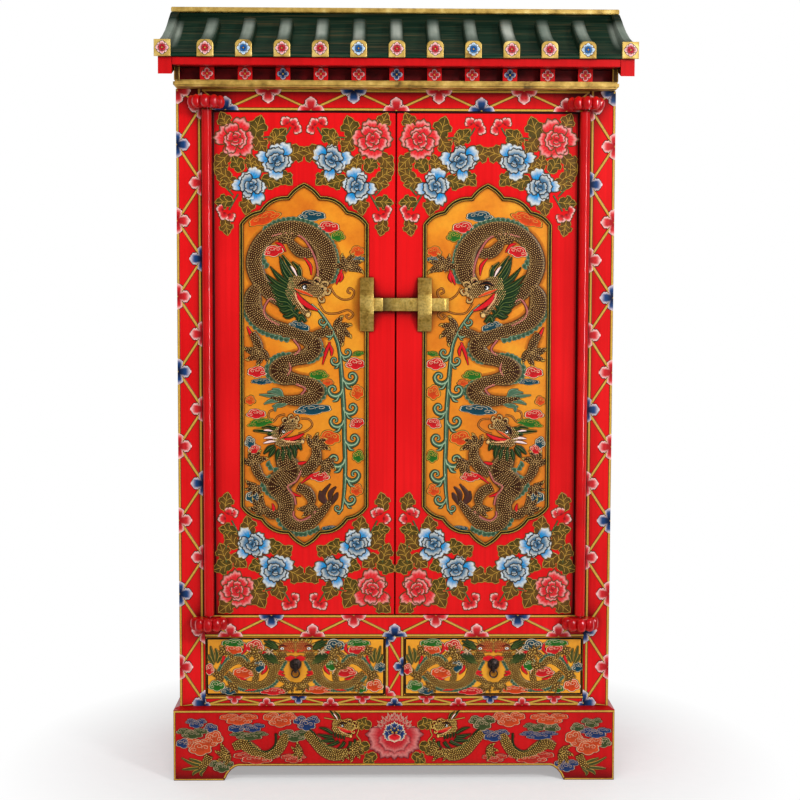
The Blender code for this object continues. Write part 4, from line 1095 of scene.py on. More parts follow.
def fin(relief, path, spine, size=1.0):
    """A jade crest along a body's back: overlapping scallops that point away from the body."""
    run = smooth(even(path, 3.0), 8)
    walked = 0.0
    for here, there in zip(run, run[1:]):
        walked += math.hypot(there[0] - here[0], there[1] - here[1])
        if walked < 6.2 * size:
            continue
        walked = 0.0
        near = min(spine, key=lambda p: (p[0] - here[0]) ** 2 + (p[1] - here[1]) ** 2)
        turn = math.degrees(math.atan2(here[1] - near[1], here[0] - near[0]))
        tooth = moved(TOOTH, here[0], here[1], turn, size)
        relief.pad(tooth, 1.7, FIN, mixed(FIN, MANE, 0.6), PALE_JADE, 0.8)


def stain_and_shade_beside(relief, spine, reach):
    """Brown stain and painted shade beside a body, fading out into the amber."""
    run = smooth(spine, 5)
    rows = []
    for (x, z, w), (nx, nz) in zip(run, normals(run)):
        steps = ((-w - reach, -0.05), (-w - reach / 2, 0.05), (-w, 0.1), (w, 0.1), (w + reach / 2, 0.05),
                 (w + reach, -0.05))
        rows.append([(x + nx * a, z + nz * a, h) for a, h in steps])
    faded = mixed(GROUND, STAIN_AND_SHADE, 0.45)
    relief.weave(rows, [[GROUND, faded, STAIN_AND_SHADE, STAIN_AND_SHADE, faded, GROUND]] * len(rows))


def serpent(relief, spine, lift=0.0, pitch=5.0, bead=SCALE, ground=BODY, full=0.31):
    """A dragon's body or leg: a rounded band studded with rows of scales, none crowded at the bends."""
    run = smooth(spine, 10)
    relief.stroke(run, 2.3, ground, mixed(ground, bead, 0.2), lift)
    rest = pitch / 2
    row = 0
    set_scales = []
    for here, there, (nx, nz) in zip(run, run[1:], normals(run)):
        length = math.hypot(there[0] - here[0], there[1] - here[1])
        while rest <= length:
            x, z, w = mixed(here, there, rest / length if length else 0.0)
            count = max(1, int(1.8 * w / pitch))
            odd = row % 2
            for k in range(count + odd):
                a = 0.84 * ((2 * k + 1 - odd) / count - 1)
                spot = (x + nx * w * a, z + nz * w * a)
                if any((spot[0] - p) ** 2 + (spot[1] - q) ** 2 < (0.74 * pitch) ** 2
                       for p, q in set_scales[-90:]):
                    continue
                set_scales.append(spot)
                tint = mixed(bead, ground, 0.2 + 0.2 * math.sin(7.1 * row + 3.7 * k))
                relief.dot(*spot, pitch * full, 1.0, tint, ground, 5, lift + 2.2 * (1 - 0.30 * a * a) - 0.1)
            row += 1
            rest += pitch
        rest -= length


def along_back(spine, side):
    """A line just outside one side of a body."""
    run = smooth(spine, 4)
    return [(x + nx * side * (w + 2.5), z + nz * side * (w + 2.5))
            for (x, z, w), (nx, nz) in zip(run, normals(run))]


def within(outline, x, z):
    """Whether a point lies inside a closed outline."""
    odd = False
    for (ax, az), (bx, bz) in zip(outline, outline[1:] + outline[:1]):
        if (az > z) != (bz > z) and x < ax + (bx - ax) * (z - az) / (bz - az):
            odd = not odd
    return odd


def scales(relief, outline, pitch, lift, bead):
    """Fill an outline with staggered rows of raised scales."""
    high = max(p[1] for p in outline)
    left = min(p[0] for p in outline)
    right = max(p[0] for p in outline)
    row = 0
    z = min(p[1] for p in outline) + pitch * 0.6
    while z < high:
        x = left + pitch * (0.5 if row % 2 else 0.0)
        while x < right:
            if within(outline, x, z):
                tint = mixed(bead, BODY, 0.2 + 0.2 * math.sin(5.3 * row + x))
                relief.dot(x, z, pitch * 0.38, 0.9, tint, BODY, 6, lift)
            x += pitch
        z += pitch * 0.86
        row += 1


def hair(relief, run, lift):
    """One lock of a mane with a lighter line down its middle."""
    relief.stroke(run, 1.8, MANE, mixed(MANE, MANE_LINE, 0.4), lift)
    relief.stroke([(x, z, max(0.2, w * 0.16)) for x, z, w in run], 0.5, MANE_LINE, None, lift + 1.6)


# A toe and its claw, as shares of a paw's size
TOE = ((0.0, 0.0, 0.26), (0.4, 0.06, 0.27), (0.76, 0.0, 0.19), (1.0, -0.16, 0.05))
CLAW = ((0.82, 0.0), (1.02, -0.05), (1.16, -0.24))


def paw(relief, x, z, turn, size, lift=0.6, bead=SCALE, ground=BODY):
    """A scaly paw: four stubby toes spread round turn, studded as the leg is, each with a hooked claw."""
    for spread in (-72, -26, 20, 66):
        serpent(relief, moved(TOE, x, z, turn + spread, size), lift, 4.8, bead, ground)
        tongue(relief, moved(CLAW, x, z, turn + spread, size), size * 0.08, GILT, BROWN_LINE, 1.4, lift)


# A dragon's head in profile, from its eye, as it looks to the right
JAW_HINGE = 30        # from the eye back to where the jaw hangs
SKULL = (
    (-42, 10), (-35, 23), (-20, 29), (-5, 25), (8, 18), (18, 18), (26, 11), (37, 6), (48, -3), (49, -13),
    (43, -18), (37, -24), (28, -23), (17, -20), (7, -14), (-8, -7), (-20, -1), (-30, -5), (-39, -2)
)
JAW = (
    (-35, 7), (-47, -3), (-45, -20), (-35, -32), (-24, -42), (-15, -52), (-5, -62), (5, -70), (13, -67),
    (15, -59), (5, -53), (-3, -47), (-10, -37), (-17, -25), (-20, -13), (-24, -3)
)
MUZZLE = (
    (42, 3, 5.0), (49, -3, 5.6), (50, -12, 5.0), (45, -18, 4.4), (38, -23, 3.8), (32, 9, 4.0), (24, 13, 3.4)
)
CURLS = (
    ((38, 7), (46, 14), (56, 11), (54, 3)), ((44, -13), (56, -16), (62, -7), (56, -3)),
    ((21, 16), (28, 24), (37, 20), (35, 13)), ((32, -22), (37, -33), (46, -33), (46, -25))
)


def dragon_head(relief, x, z, turn, size, flip=1.0, lift=1.6, ground=BODY, bead=SCALE, shut=0.0):
    """A dragon's head round its eye: scaled skull and jaw, open mouth, tongue, horns, brow and muzzle."""
    scale = size / 100

    def put(points):
        return moved(points, x, z, flip * turn, scale, flip)

    def lock(points, half, paint, edge, rise=0.0):
        tongue(relief, put(points), half * scale, paint, edge, 1.5, lift + rise)

    def low(points):
        return moved([(px + JAW_HINGE, pz) for px, pz in points], -JAW_HINGE, 0, shut)

    def spot(px, pz, radius, height, paint, sides, rise):
        relief.dot(*put([(px, pz)])[0], radius * scale, height, *paint, sides, lift + rise)

    lock(((-18, 22), (-34, 48), (-54, 78)), 7.0, MANE, GOLD_LINE)
    lock(((-8, 20), (-14, 44), (-30, 62)), 6.0, MANE, GOLD_LINE)
    lock(((-18, 26), (-26, 42), (-34, 52)), 3.4, PALE_PINK, BELLY, 0.4)
    for k in range(4):
        beard = ((-36 + 9 * k, -22 - 9 * k), (-46 + 9 * k, -30 - 9 * k), (-50 + 10 * k, -44 - 8 * k))
        lock(low(beard), 4.6, MANE, MANE_LINE)
    lock(low(((-19, -14), (-9, -30), (10, -45), (32, -55))), 6.6, RED, DEEP_RED, 0.4)
    lock(low(((-24, -6), (-20, -26), (-10, -42), (4, -57))), 3.0, LIP, ORANGE, 0.5)
    for outline, height in ((low(JAW), 1.8), (SKULL, 2.4)):
        relief.pad(put(outline), height, ground, ground, mixed(ground, bead, 0.5), 0.9, lift)
        scales(relief, put(outline), 4.6, lift + height * 0.72, bead)
    lock(((-25, -3), (-10, -9), (4, -14), (20, -21)), 4.2, ORANGE, LIP, 1.2)
    for px, pz, radius in MUZZLE:
        spot(px, pz, radius, 1.6, (mixed(bead, ground, 0.35), ground), 8, 1.4)
    for curl in CURLS:
        lock(curl, 3.0, mixed(bead, ground, 0.3), BODY, 0.6)
    spot(0, 1, 9.0, 1.0, (BLACK, ground), 9, 1.9)
    spot(0, 0, 5.2, 1.0, (WHITE, BLACK), 9, 2.4)
    spot(1.6, 0.4, 3.0, 1.0, (BLACK, BLACK), 9, 3.0)
    spot(43, -3, 3.0, 1.0, (BLACK, BLACK), 9, 3.0)
    spot(*low(((8, -66),))[0], 6.0, 1.0, (bead, ground), 9, 1.9)
    lock(((-18, 4), (0, 13), (20, 7)), 5.0, BLACK, RUSSET, 1.6)
    lock(((19, 11), (27, 16), (36, 9)), 3.8, BLACK, RUSSET, 1.2)


# Half of the two heads that meet over a drawer's pull, from the middle of the front
CROWN = ((0, 42), (0, 62), (-14, 65), (-30, 61), (-42, 52), (-41, 39), (-25, 34), (-11, 36))
CHEEK = ((-26, 34), (-39, 37), (-46, 30), (-47, 20), (-39, 12), (-27, 14), (-21, 24))
LIPS = ((0, 24), (-12, 28), (-22, 24), (-29, 27), (-29, 17), (-15, 13), (0, 16))
EYE = ((-39, 44), (-35, 49), (-29, 48), (-27, 44), (-32, 41))
CREST = (
    (-42, 54, 140), (-35, 61, 115), (-26, 65, 105), (-16, 67, 95), (-6, 65, 80), (-46, 46, 165),
    (-48, 36, 190)
)
MANE_FANS = (
    ((-38, 6), ((-83, 30), (-80, 21), (-68, 13), (-76, 34), (-62, 33), (-55, 10))),
    ((-42, 43), ((-78, 64), (-68, 66), (-76, 54), (-63, 46), (-58, 63)))
)
EAR_HAIRS = ((-77, 30), (-76, 38), (-72, 45), (-54, 30), (-53, 44), (-66, 27))


def meeting_heads(relief, middle, z0, flip):
    """One of two heads that share a brow over the pull: spiny crown, white eye, red lips, feathered mane."""
    def put(points):
        return mirrored(points, middle, z0, flip)

    for root, tips in MANE_FANS:
        for tip in tips:
            bend = ((root[0] + tip[0]) / 2, (root[1] + tip[1]) / 2 + 1.5)
            hair(relief, smooth(tapered(put((root, bend, tip)), 4.6), 5), 0.8)
    for tip in EAR_HAIRS:
        bend = ((tip[0] - 62) / 2, (tip[1] + 37) / 2 + 1)
        tongue(relief, put(((-62, 37), bend, tip)), 2.0, DULL_CREAM, BODY, 1.4, 0.9)
    for px, pz, turn in CREST:
        reach = math.radians(turn)
        tip = (px + 10 * math.cos(reach), min(69.0, pz + 7 * math.sin(reach)))
        tongue(relief, put(((px + 4, pz - 4), (px, pz), tip)), 2.6, GILT, BROWN_LINE, 1.4, 0.8)
    for outline, ground, height in ((CHEEK, BODY, 2.0), (LIPS, FLAME, 1.8), (CROWN, CROWN_RED, 2.4)):
        shape = put(outline)
        relief.pad(shape, height, ground, ground, mixed(ground, GILT, 0.6), 0.9, 0.8)
        if ground is not FLAME:
            scales(relief, shape, 5.4, 0.8 + height * 0.72, GILT)
    relief.pad(put(EYE), 1.2, WHITE, WHITE, BLACK, 0.9, 2.8)
    relief.dot(*put([(-32.5, 45)])[0], 2.0, 1.0, BLACK, BLACK, 7, 3.8)
    tongue(relief, put(((-42, 50), (-32, 54), (-22, 50))), 2.4, BLACK, FLAME, 1.2, 2.8)
    tongue(relief, put(((-24, 44), (-14, 39), (-3, 44))), 2.6, FLAME, GILT, 1.2, 2.6)
    relief.dot(*put([(-6, 38)])[0], 3.6, 1.4, FLAME, BROWN_LINE, 8, 2.4)


# A vine's scroll and its side shoot, as shares of its size
CURL = (
    (0.0, 0.34, 0.1), (0.1, 0.0, 0.17), (0.44, -0.2, 0.19), (0.82, -0.08, 0.17), (0.98, 0.25, 0.14),
    (0.8, 0.52, 0.11), (0.56, 0.46, 0.1), (0.52, 0.26, 0.09), (0.66, 0.2, 0.06)
)
SHOOT = ((0.2, -0.08, 0.08), (0.4, -0.46, 0.12), (0.7, -0.56, 0.04))


def vine_curl(relief, x, z, size, flip):
    """A scroll with a side shoot that leaves the vine's trunk and rolls up on itself."""
    for shape in (SHOOT, CURL):
        curl = smooth(moved(shape, x, z, 0.0, size, flip), 5)
        relief.stroke(curl, 1.8, JADE, mixed(JADE, MANE, 0.5))
        relief.stroke([(x, z, w * 0.28) for x, z, w in curl], 0.5, PALE_JADE, lift=1.6)


PANEL_TOP_CUSPS = ((0.0, 0.0), (40.0, 32.0), (106.0, 66.0), (155.5, 99.0))
CUSP_BULGES = (0.08, 0.145, 0.12)
PANEL_REACH = 440.75       # from the middle of a panel to the points of its rim
RIM_MARGINS = (1.6, 7.9)   # how far the gilt lines are drawn in from the rim's edge


def cusped_edge(margin):
    """A quarter of the rim's edge, from the top point to the middle of the right side, drawn in by margin."""
    points = []
    for start, end, bulge in zip(PANEL_TOP_CUSPS, PANEL_TOP_CUSPS[1:], CUSP_BULGES):
        dx = end[0] - start[0]
        dz = end[1] - start[1]
        for k in range(6):
            t = k / 6
            swell = bulge * 4 * t * (1 - t)
            points.append((start[0] + dx * t + dz * swell, PANEL_REACH - start[1] - dz * t + dx * swell))
    side, drop = PANEL_TOP_CUSPS[-1]
    points += [(side, PANEL_REACH - drop), (side, 0.0)]
    return [(max(0.0, x - nx * margin), z - nz * margin) for (x, z), (nx, nz) in zip(points, normals(points))]


# Drawing of a door panel, in millimetres from its middle; the third number is a half width
RING_DRAGON = (
    (32, 198, 15.3), (51, 221, 23.9), (56, 255, 27.0), (46, 289, 25.2), (20, 317, 21.5), (-18, 333, 17.8),
    (-58, 329, 19.0), (-92, 309, 19.0), (-114, 280, 18.4), (-120, 246, 20.3), (-110, 212, 19.6),
    (-87, 180, 16.6), (-60, 155, 11.1), (-40, 138, 4.3)
)
RING_TAIL = (
    (-110, 197, 9.2), (-123, 170, 20.3), (-124, 140, 23.0), (-106, 112, 21.5), (-75, 95, 17.8),
    (-41, 86, 15.3), (-8, 73, 16.0), (19, 58, 20.9), (22, 41, 22.1), (5, 25, 18.4), (-26, 17, 16.0),
    (-51, 7, 19.0), (-63, -10, 25.2), (-49, -25, 21.5), (-20, -32, 13.5), (11, -42, 16.0), (31, -59, 20.3),
    (15, -77, 17.2), (-17, -83, 12.9), (-51, -81, 8.6), (-81, -76, 3.1)
)
RING_LEGS = (
    ((20, 274, 10.4), (-8, 274, 12.9), (-26, 289, 11.1), (-35, 302, 7.4)),
    ((69, 243, 6.8), (91, 241, 8.0), (106, 235, 7.4)), ((17, 70, 9.2), (42, 80, 10.4), (69, 84, 8.0)),
    ((-126, 81, 8.0), (-114, 58, 10.4), (-109, 39, 10.4))
)
RING_FINS = (
    ((66, 200), (78, 237), (75, 274), (57, 311), (23, 340), (-20, 353), (-66, 346), (-103, 323)),
    ((-87, 237), (-100, 258), (-101, 283), (-90, 311)), ((-35, 63), (-63, 69), (-103, 84), (-130, 107),
    (-143, 135), (-137, 163)), ((-8, 16), (17, 13), (40, 32), (37, 55), (11, 73), (-17, 79)), ((-32, -23),
    (-60, -36), (-83, -27), (-90, -7), (-78, 15), (-54, 27), (-26, 26)),
    ((32, -88), (50, -64), (37, -42), (5, -31), (-29, -26))
)
RING_BELLIES = (
    ((32, 200), (32, 237), (20, 274), (-6, 311), (-44, 320), (-78, 313)),
    ((-57, 150), (-81, 163), (-97, 138), (-90, 116), (-60, 99)), ((-26, 65), (-11, 42), (-24, 27)),
    ((-37, 11), (-33, -7), (-41, -22)), ((-20, -43), (2, -54), (-8, -69))
)
LOW_DRAGON = (
    (-51, -202, 18.4), (-46, -229, 23.9), (-35, -254, 27.0), (-51, -274, 28.2), (-68, -291, 27.6),
    (-52, -314, 23.3), (-44, -337, 19.6), (-47, -362, 18.4), (-34, -384, 17.2), (-8, -390, 14.1),
    (17, -380, 12.9), (37, -361, 11.1), (52, -343, 8.6), (65, -327, 3.7)
)
LOW_LEGS = (
    ((-11, -260, 11.7), (14, -245, 13.5), (29, -220, 12.9), (27, -198, 9.2)),
    ((17, -223, 7.4), (35, -232, 7.4), (49, -237, 5.5)), ((-87, -285, 9.2), (-107, -268, 9.8),
    (-117, -248, 11.7), (-121, -231, 6.1)), ((-17, -293, 10.4), (6, -305, 12.3), (17, -325, 10.4),
    (12, -345, 4.9)), ((-54, -359, 8.6), (-80, -361, 11.1), (-100, -347, 8.0))
)
LOW_FINS = (
    ((-57, -323), (-78, -316), (-98, -297), (-97, -277), (-60, -260), (-84, -245), (-87, -229)),
    ((35, -393), (5, -408), (-32, -404), (-60, -381), (-64, -353))
)
LOW_BELLIES = (
    ((-8, -254), (-20, -279), (-41, -293), (-26, -316), (-21, -337)), ((-26, -353), (-26, -365),
    (-12, -376), (11, -368), (29, -350))
)
# Paws: place, direction and size
PANEL_PAWS = (
    (-37, 304, 110, 28), (108, 238, 60, 32), (78, 86, 10, 34), (-109, 38, 250, 34), (50, -236, 320, 26),
    (-120, -236, 100, 30), (-118, -292, 230, 24), (12, -342, 270, 26), (-102, -344, 170, 30),
    (28, -196, 70, 30)
)
# Heads: place of the eye, turn and size
PANEL_HEADS = ((1, 190, 0, 100), (-50, -158, 54, 78))
# Locks of the upper dragon's mane, each from its root behind the cheek to its tip
RING_MANE = (
    ((-30, 203), (-59, 254)), ((-33, 194), (-82, 240)), ((-38, 184), (-92, 222)), ((-41, 174), (-89, 204)),
    ((-42, 164), (-81, 186)), ((-41, 154), (-74, 168)), ((-38, 145), (-68, 152)), ((-32, 136), (-60, 137)),
    ((-23, 127), (-52, 122)), ((-8, 121), (-16, 108))
)
HORN_LOCKS = (
    ((-12, 245, 0.6), (-14, 231, 3.7), (-12, 215, 1.5)), ((-60, 265, 0.6), (-47, 240, 6.1), (-26, 209, 3.1))
)
LOW_COLLAR = (
    ((-72, -192), (-86, -200), (-99, -213)), ((-70, -196), (-78, -208), (-86, -221)),
    ((-62, -200), (-65, -214), (-68, -229)), ((-51, -202), (-52, -216), (-52, -230)),
    ((-38, -200), (-36, -214), (-33, -228)), ((-27, -193), (-24, -208), (-22, -223)),
    ((-20, -182), (-13, -192), (-7, -204)), ((-66, -164), (-78, -162), (-90, -165)),
    ((-60, -150), (-72, -152), (-84, -150))
)
LOW_HORNS = (((-66, -176), (-82, -173), (-98, -175)), ((-68, -182), (-84, -183), (-99, -187)))
RING_WHISKERS = (
    ((63, 192), (75, 172), (94, 161), (114, 165), (120, 181), (109, 189), (104, 180), (112, 176)),
    ((35, 152), (51, 130), (78, 128), (104, 136), (118, 126), (108, 115), (100, 122), (108, 125))
)
LOW_WHISKERS = (
    ((-47, -117), (-63, -121), (-75, -134), (-87, -124), (-84, -110), (-74, -106)),
    ((-8, -127), (11, -129), (19, -143), (5, -157), (-14, -163)),
    ((-8, -171), (5, -178), (15, -171), (6, -166))
)
FLAMES = (
    ((-44, 276), (-56, 292), (-70, 297)), ((-1, 262), (14, 243), (17, 220)),
    ((91, 234), (83, 215), (77, 197)), ((88, 231), (91, 215), (85, 203)),
    ((-138, 96), (-130, 79), (-121, 61)), ((63, 59), (54, 39), (44, 4)), ((58, 58), (66, 39), (65, 25)),
    ((-26, -237), (-8, -236), (5, -232)), ((-44, -297), (-29, -310), (-8, -317)),
    ((-78, -334), (-75, -347), (-78, -359)), ((-8, -285), (17, -266), (35, -260))
)
TAIL_FEATHERS = (
    ((-44, -78), (-69, -63), (-90, -63)), ((-47, -81), (-75, -73), (-109, -69)),
    ((-47, -84), (-78, -84), (-98, -92)), ((-35, -87), (-57, -95), (-78, -97)),
    ((-51, -77), (-60, -60), (-78, -55)), ((-57, -90), (-69, -97), (-71, -110))
)
LEAF_FLAMES = (
    ((57, -334), (45, -313), (63, -286)), ((63, -334), (63, -310), (77, -293)),
    ((54, -337), (40, -322), (38, -303)), ((66, -337), (75, -319), (81, -307))
)
VINE = (
    (17, 150, 1.5), (38, 130, 2.8), (63, 94, 4.0), (80, 58, 4.3), (86, 24, 4.3), (89, -10, 5.2),
    (92, -53, 5.5), (96, -115, 5.5), (97, -177, 5.2), (99, -239, 4.9), (97, -300, 4.3), (91, -347, 2.5)
)
# Scrolls of the vine: place, size and side
VINE_CURLS = (
    (91, -35, 35, 1), (94, -109, 32, 1), (97, -185, 34, 1), (98, -273, 35, 1), (97, -331, 26, 1),
    (92, -66, 34, -1), (95, -141, 32, -1), (98, -237, 37, -1), (55, 103, 19, -1), (70, 75, 19, -1),
    (87, 27, 25, 1), (88, 8, 23, -1), (92, -350, 18, -1)
)
# Clouds: paint, place, half width, half height and turn
PANEL_CLOUDS = (
    ("orange", -95, 355, 41, 16, 20), ("red", -74, 277, 25, 15, 10), ("teal", 19, 362, 33, 14, 0),
    ("red", 58, 335, 27, 15, 0), ("green", 81, 313, 18, 14, 0), ("orange", 128, 277, 18, 14, 0),
    ("teal", 132, 259, 14, 7, 0), ("teal", -12, 97, 26, 12, -15), ("green", 130, 31, 15, 7, 10),
    ("red", 123, 6, 24, 16, 0), ("red", -114, -14, 24, 15, 0), ("teal", -103, -37, 26, 8, 0),
    ("orange", -131, -83, 13, 13, 0), ("red", -117, -116, 24, 13, 0), ("green", -106, -137, 33, 11, 10),
    ("teal", -132, -185, 13, 16, 0), ("red", -122, -202, 16, 12, 30), ("teal", -124, -318, 20, 17, 0),
    ("orange", 61, -174, 27, 20, 0), ("red", 38, -268, 24, 14, 0), ("teal", 20, -105, 46, 14, 5),
    ("green", 35, -21, 24, 13, 0), ("orange", 57, -39, 14, 9, 0), ("orange", 128, -63, 17, 20, 0),
    ("red", 127, -138, 19, 14, 15), ("green", 131, -219, 15, 17, 0), ("orange", 127, -301, 16, 17, 0),
    ("teal", 63, -395, 21, 7, 0)
)

# Drawing of a drawer front, left half, from the middle of the front
DRAWER_BODIES = (
    ((-182, -18, 6.7), (-170, -1, 10.8), (-153, 13, 12.4), (-135, 16, 11.4), (-120, 2, 8.6)),
    ((-168, -16, 8.0), (-152, -30, 11.2), (-130, -44, 12.6), (-103, -48, 11.6), (-79, -45, 11.8),
    (-60, -31, 14.4), (-53, -13, 14.4), (-42, 5, 11.6), (-30, 20, 8.0)),
    ((-46, -25, 8.6), (-30, -33, 8.0), (-18, -42, 6.6)),
    ((-120, 22, 6.0), (-112, 30, 6.4), (-104, 34, 5.0)),
    ((-101, -40, 8.0), (-97, -22, 8.4), (-105, -6, 6.0)), ((-58, -2, 8.0), (-72, 12, 8.4), (-85, 21, 6.0)),
    ((-150, 12, 7.4), (-159, 29, 7.4), (-171, 36, 5.4))
)
DRAWER_PAWS = (
    (-18, -44, 285, 20), (-102, 36, 50, 18), (-150, -46, 225, 18), (-184, -20, 215, 18),
    (-106, -4, 105, 18), (-87, 22, 150, 17), (-173, 37, 165, 16)
)
DRAWER_TAIL = (
    ((-198, 9), (-203, 27), (-208, 51)), ((-194, 12), (-192, 30), (-196, 45)),
    ((-192, 9), (-183, 23), (-176, 34)), ((-199, 5), (-210, 20), (-213, 30))
)
DRAWER_FLAMES = (
    ((-124, -60), (-104, -57), (-86, -51)), ((-52, -2), (-40, -12), (-28, -14)),
    ((-50, -8), (-38, -20), (-26, -22)), ((-84, -20), (-74, -8), (-70, 6)),
    ((-146, -22), (-136, -30), (-120, -32)), ((-182, 6), (-176, 22), (-182, 36)),
    ((-132, 30), (-122, 44), (-126, 58)), ((-70, 36), (-84, 34), (-96, 24))
)
DRAWER_CLOUDS = (
    ("green", -152, 58, 26, 10, 0), ("orange", -154, 41, 22, 12, 0), ("red", -99, 49, 20, 17, 0),
    ("teal", -91, 2, 14, 17, 0), ("orange", -125, -15, 26, 14, 0), ("red", -211, -7, 11, 14, 0),
    ("green", -193, -48, 18, 13, 0), ("teal", -163, -60, 18, 10, 0), ("red", -54, -62, 30, 9, 0),
    ("teal", 96, 51, 22, 16, 0), ("green", 153, 58, 27, 9, 0), ("red", 153, 41, 22, 12, 0),
    ("green", 90, 4, 16, 15, 0), ("red", 120, -14, 27, 12, 0), ("teal", 207, -2, 13, 12, 0),
    ("orange", 56, -58, 31, 10, 0), ("green", 159, -56, 14, 10, 0), ("orange", 194, -48, 19, 15, 0)
)

# Drawing of the plinth, left half, in the armoire's own millimetres
PLINTH_BODIES = (
    ((-113, 74, 7.2), (-140, 64, 15.8), (-170, 74, 16.6), (-195, 99, 14.4), (-217, 119, 9.4)),
    ((-265, 117, 7.9), (-274, 94, 13.0), (-293, 68, 12.2), (-323, 63, 11.5), (-348, 77, 15.1),
    (-371, 91, 14.4), (-394, 83, 9.4)), ((-453, 63, 10.1), (-464, 42, 9.4), (-480, 30, 3.6))
)
PLINTH_FINS = (
    ((-154, 74), (-176, 90), (-194, 114), (-208, 128)), ((-359, 101), (-342, 81), (-314, 72), (-292, 88),
    (-290, 117))
)
# Paws: place, size and direction
PLINTH_PAWS = ((-106, 76, 20, -10), (-408, 66, 21, 200), (-229, 73, 17, 190), (-126, 68, 14, -60))
PLINTH_TAIL = (
    ((-459, 37), (-491, 41), (-521, 57)), ((-459, 33), (-494, 30), (-520, 28)),
    ((-459, 32), (-487, 22), (-494, 13)), ((-462, 28), (-473, 19), (-471, 11)),
    ((-462, 41), (-484, 48), (-502, 55))
)
PLINTH_MANE = (
    ((-151, 117, 3.6), (-169, 128, 4.3), (-185, 132, 0.4)),
    ((-151, 108, 4.3), (-169, 110, 5.0), (-188, 116, 0.4)),
    ((-147, 101, 4.3), (-165, 99, 5.0), (-186, 99, 0.4)),
    ((-136, 97, 4.3), (-151, 90, 4.3), (-169, 86, 0.4)),
    ((-122, 96, 4.3), (-129, 86, 4.3), (-140, 79, 0.4)),
    ((-108, 97, 3.6), (-109, 88, 3.6), (-117, 81, 0.4)), ((-97, 103, 2.9), (-97, 94, 2.9), (-102, 86, 0.4))
)
PLINTH_WHISKERS = (
    ((-113, 154), (-129, 149), (-151, 152), (-172, 156)),
    ((-88, 145), (-88, 125), (-92, 112), (-83, 99), (-86, 88))
)
PLINTH_LEAVES = ((-56, 134, 160, 42), (-60, 88, 195, 46), (-44, 66, 215, 40))
# Gilt lines along the plinth's outer edge and its bracket foot's curve, right half
PLINTH_EDGE = ((PLINTH_HALF - 2.4, 172.0), (PLINTH_HALF - 2.4, 2.6), (418.5, 2.6))
PLINTH_FOOT = ((416.5, 6.0), (411.0, 18.0), (402.0, 29.0), (392.0, 36.5), (383.0, 39.4), (0.0, 39.6))
PLINTH_TOP_LINE = 171.4
PLINTH_EYE = (-127, 137)
LOTUS_Z = 106.0
PLINTH_CLOUDS = (
    ("orange", -380, 153, 40, 13, 0), ("navy", -387, 130, 17, 9, 0), ("navy", -347, 132, 26, 10, 0),
    ("olive", -355, 112, 40, 10, 0), ("orange", -280, 152, 35, 17, 0), ("navy", -215, 143, 28, 17, 0),
    ("olive", -244, 112, 33, 14, 0), ("red", -337, 57, 48, 14, 0), ("red", -247, 55, 26, 10, 0),
    ("olive", -423, 36, 26, 14, 0), ("navy", -484, 143, 22, 11, 0), ("navy", -449, 131, 15, 9, 0),
    ("olive", -494, 118, 33, 12, 0), ("navy", -514, 93, 17, 10, 0), ("orange", -475, 86, 36, 21, 0),
    ("orange", -441, 106, 19, 15, 0)
)

# Flowers of a door's upper and lower left corners, from the middle line of its panel
TOP_PEONIES = ((-164, 1560, 49, "red", 10), (-66, 1510, 45, "blue", 40), (-127, 1448, 43, "blue", 5))
TOP_LEAVES = (
    (-190, 1603, 115, 36), (-110, 1588, 75, 46), (-104, 1546, 300, 38), (-197, 1507, 225, 40),
    (-60, 1567, 45, 40), (-72, 1560, 100, 30), (-18, 1526, 20, 44), (-44, 1466, 315, 36),
    (-111, 1497, 160, 36), (-128, 1506, 100, 32), (-78, 1459, 345, 40), (-136, 1403, 260, 40),
    (-181, 1455, 190, 36), (-160, 1501, 120, 36), (-187, 1350, 280, 34), (-195, 1476, 150, 38),
    (-192, 1410, 185, 36)
)
TOP_STEMS = (
    ((-97, 1563), (-82, 1564), (-64, 1560)), ((-52, 1560), (-40, 1574), (-32, 1588)),
    ((-158, 1428), (-170, 1408), (-180, 1390)), ((-190, 1490), (-188, 1450), (-170, 1425))
)
TOP_BUDS = (
    (-40, 1596, 130, 20), (-27, 1593, 60, 19), (-22, 1586, 330, 19), (-194, 1391, 170, 18),
    (-190, 1383, 245, 19), (-180, 1380, 300, 20)
)
LOW_PEONIES = ((-165, 470, 47, "red", 25), (-71, 519, 44, "blue", 15), (-127, 582, 43, "blue", 55))
LOW_LEAVES = (
    (-190, 686, 80, 38), (-187, 616, 170, 36), (-178, 591, 130, 40), (-198, 562, 110, 38),
    (-200, 526, 200, 40), (-159, 540, 320, 38), (-136, 627, 100, 40), (-78, 576, 10, 40),
    (-46, 564, 40, 34), (-20, 506, 330, 46), (-116, 529, 200, 36), (-63, 468, 290, 42),
    (-112, 450, 300, 48), (-112, 480, 60, 38), (-190, 430, 220, 42)
)
LOW_STEMS = (
    ((-177, 640), (-168, 622), (-160, 606)), ((-96, 466), (-84, 469), (-72, 468)),
    ((-56, 470), (-46, 457), (-36, 440)), ((-190, 580), (-192, 550), (-186, 520))
)
LOW_BUDS = (
    (-186, 655, 60, 20), (-178, 656, 20, 19), (-192, 645, 190, 20), (-40, 436, 235, 20),
    (-34, 438, 320, 19), (-28, 446, 40, 19)
)
LEAF_GROWTH = 1.3     # how much larger the door's leaves are painted than drawn
DOOR_SEAM = 2.2       # from the post and the top rail to the middle of the painted shade in the gaps along them


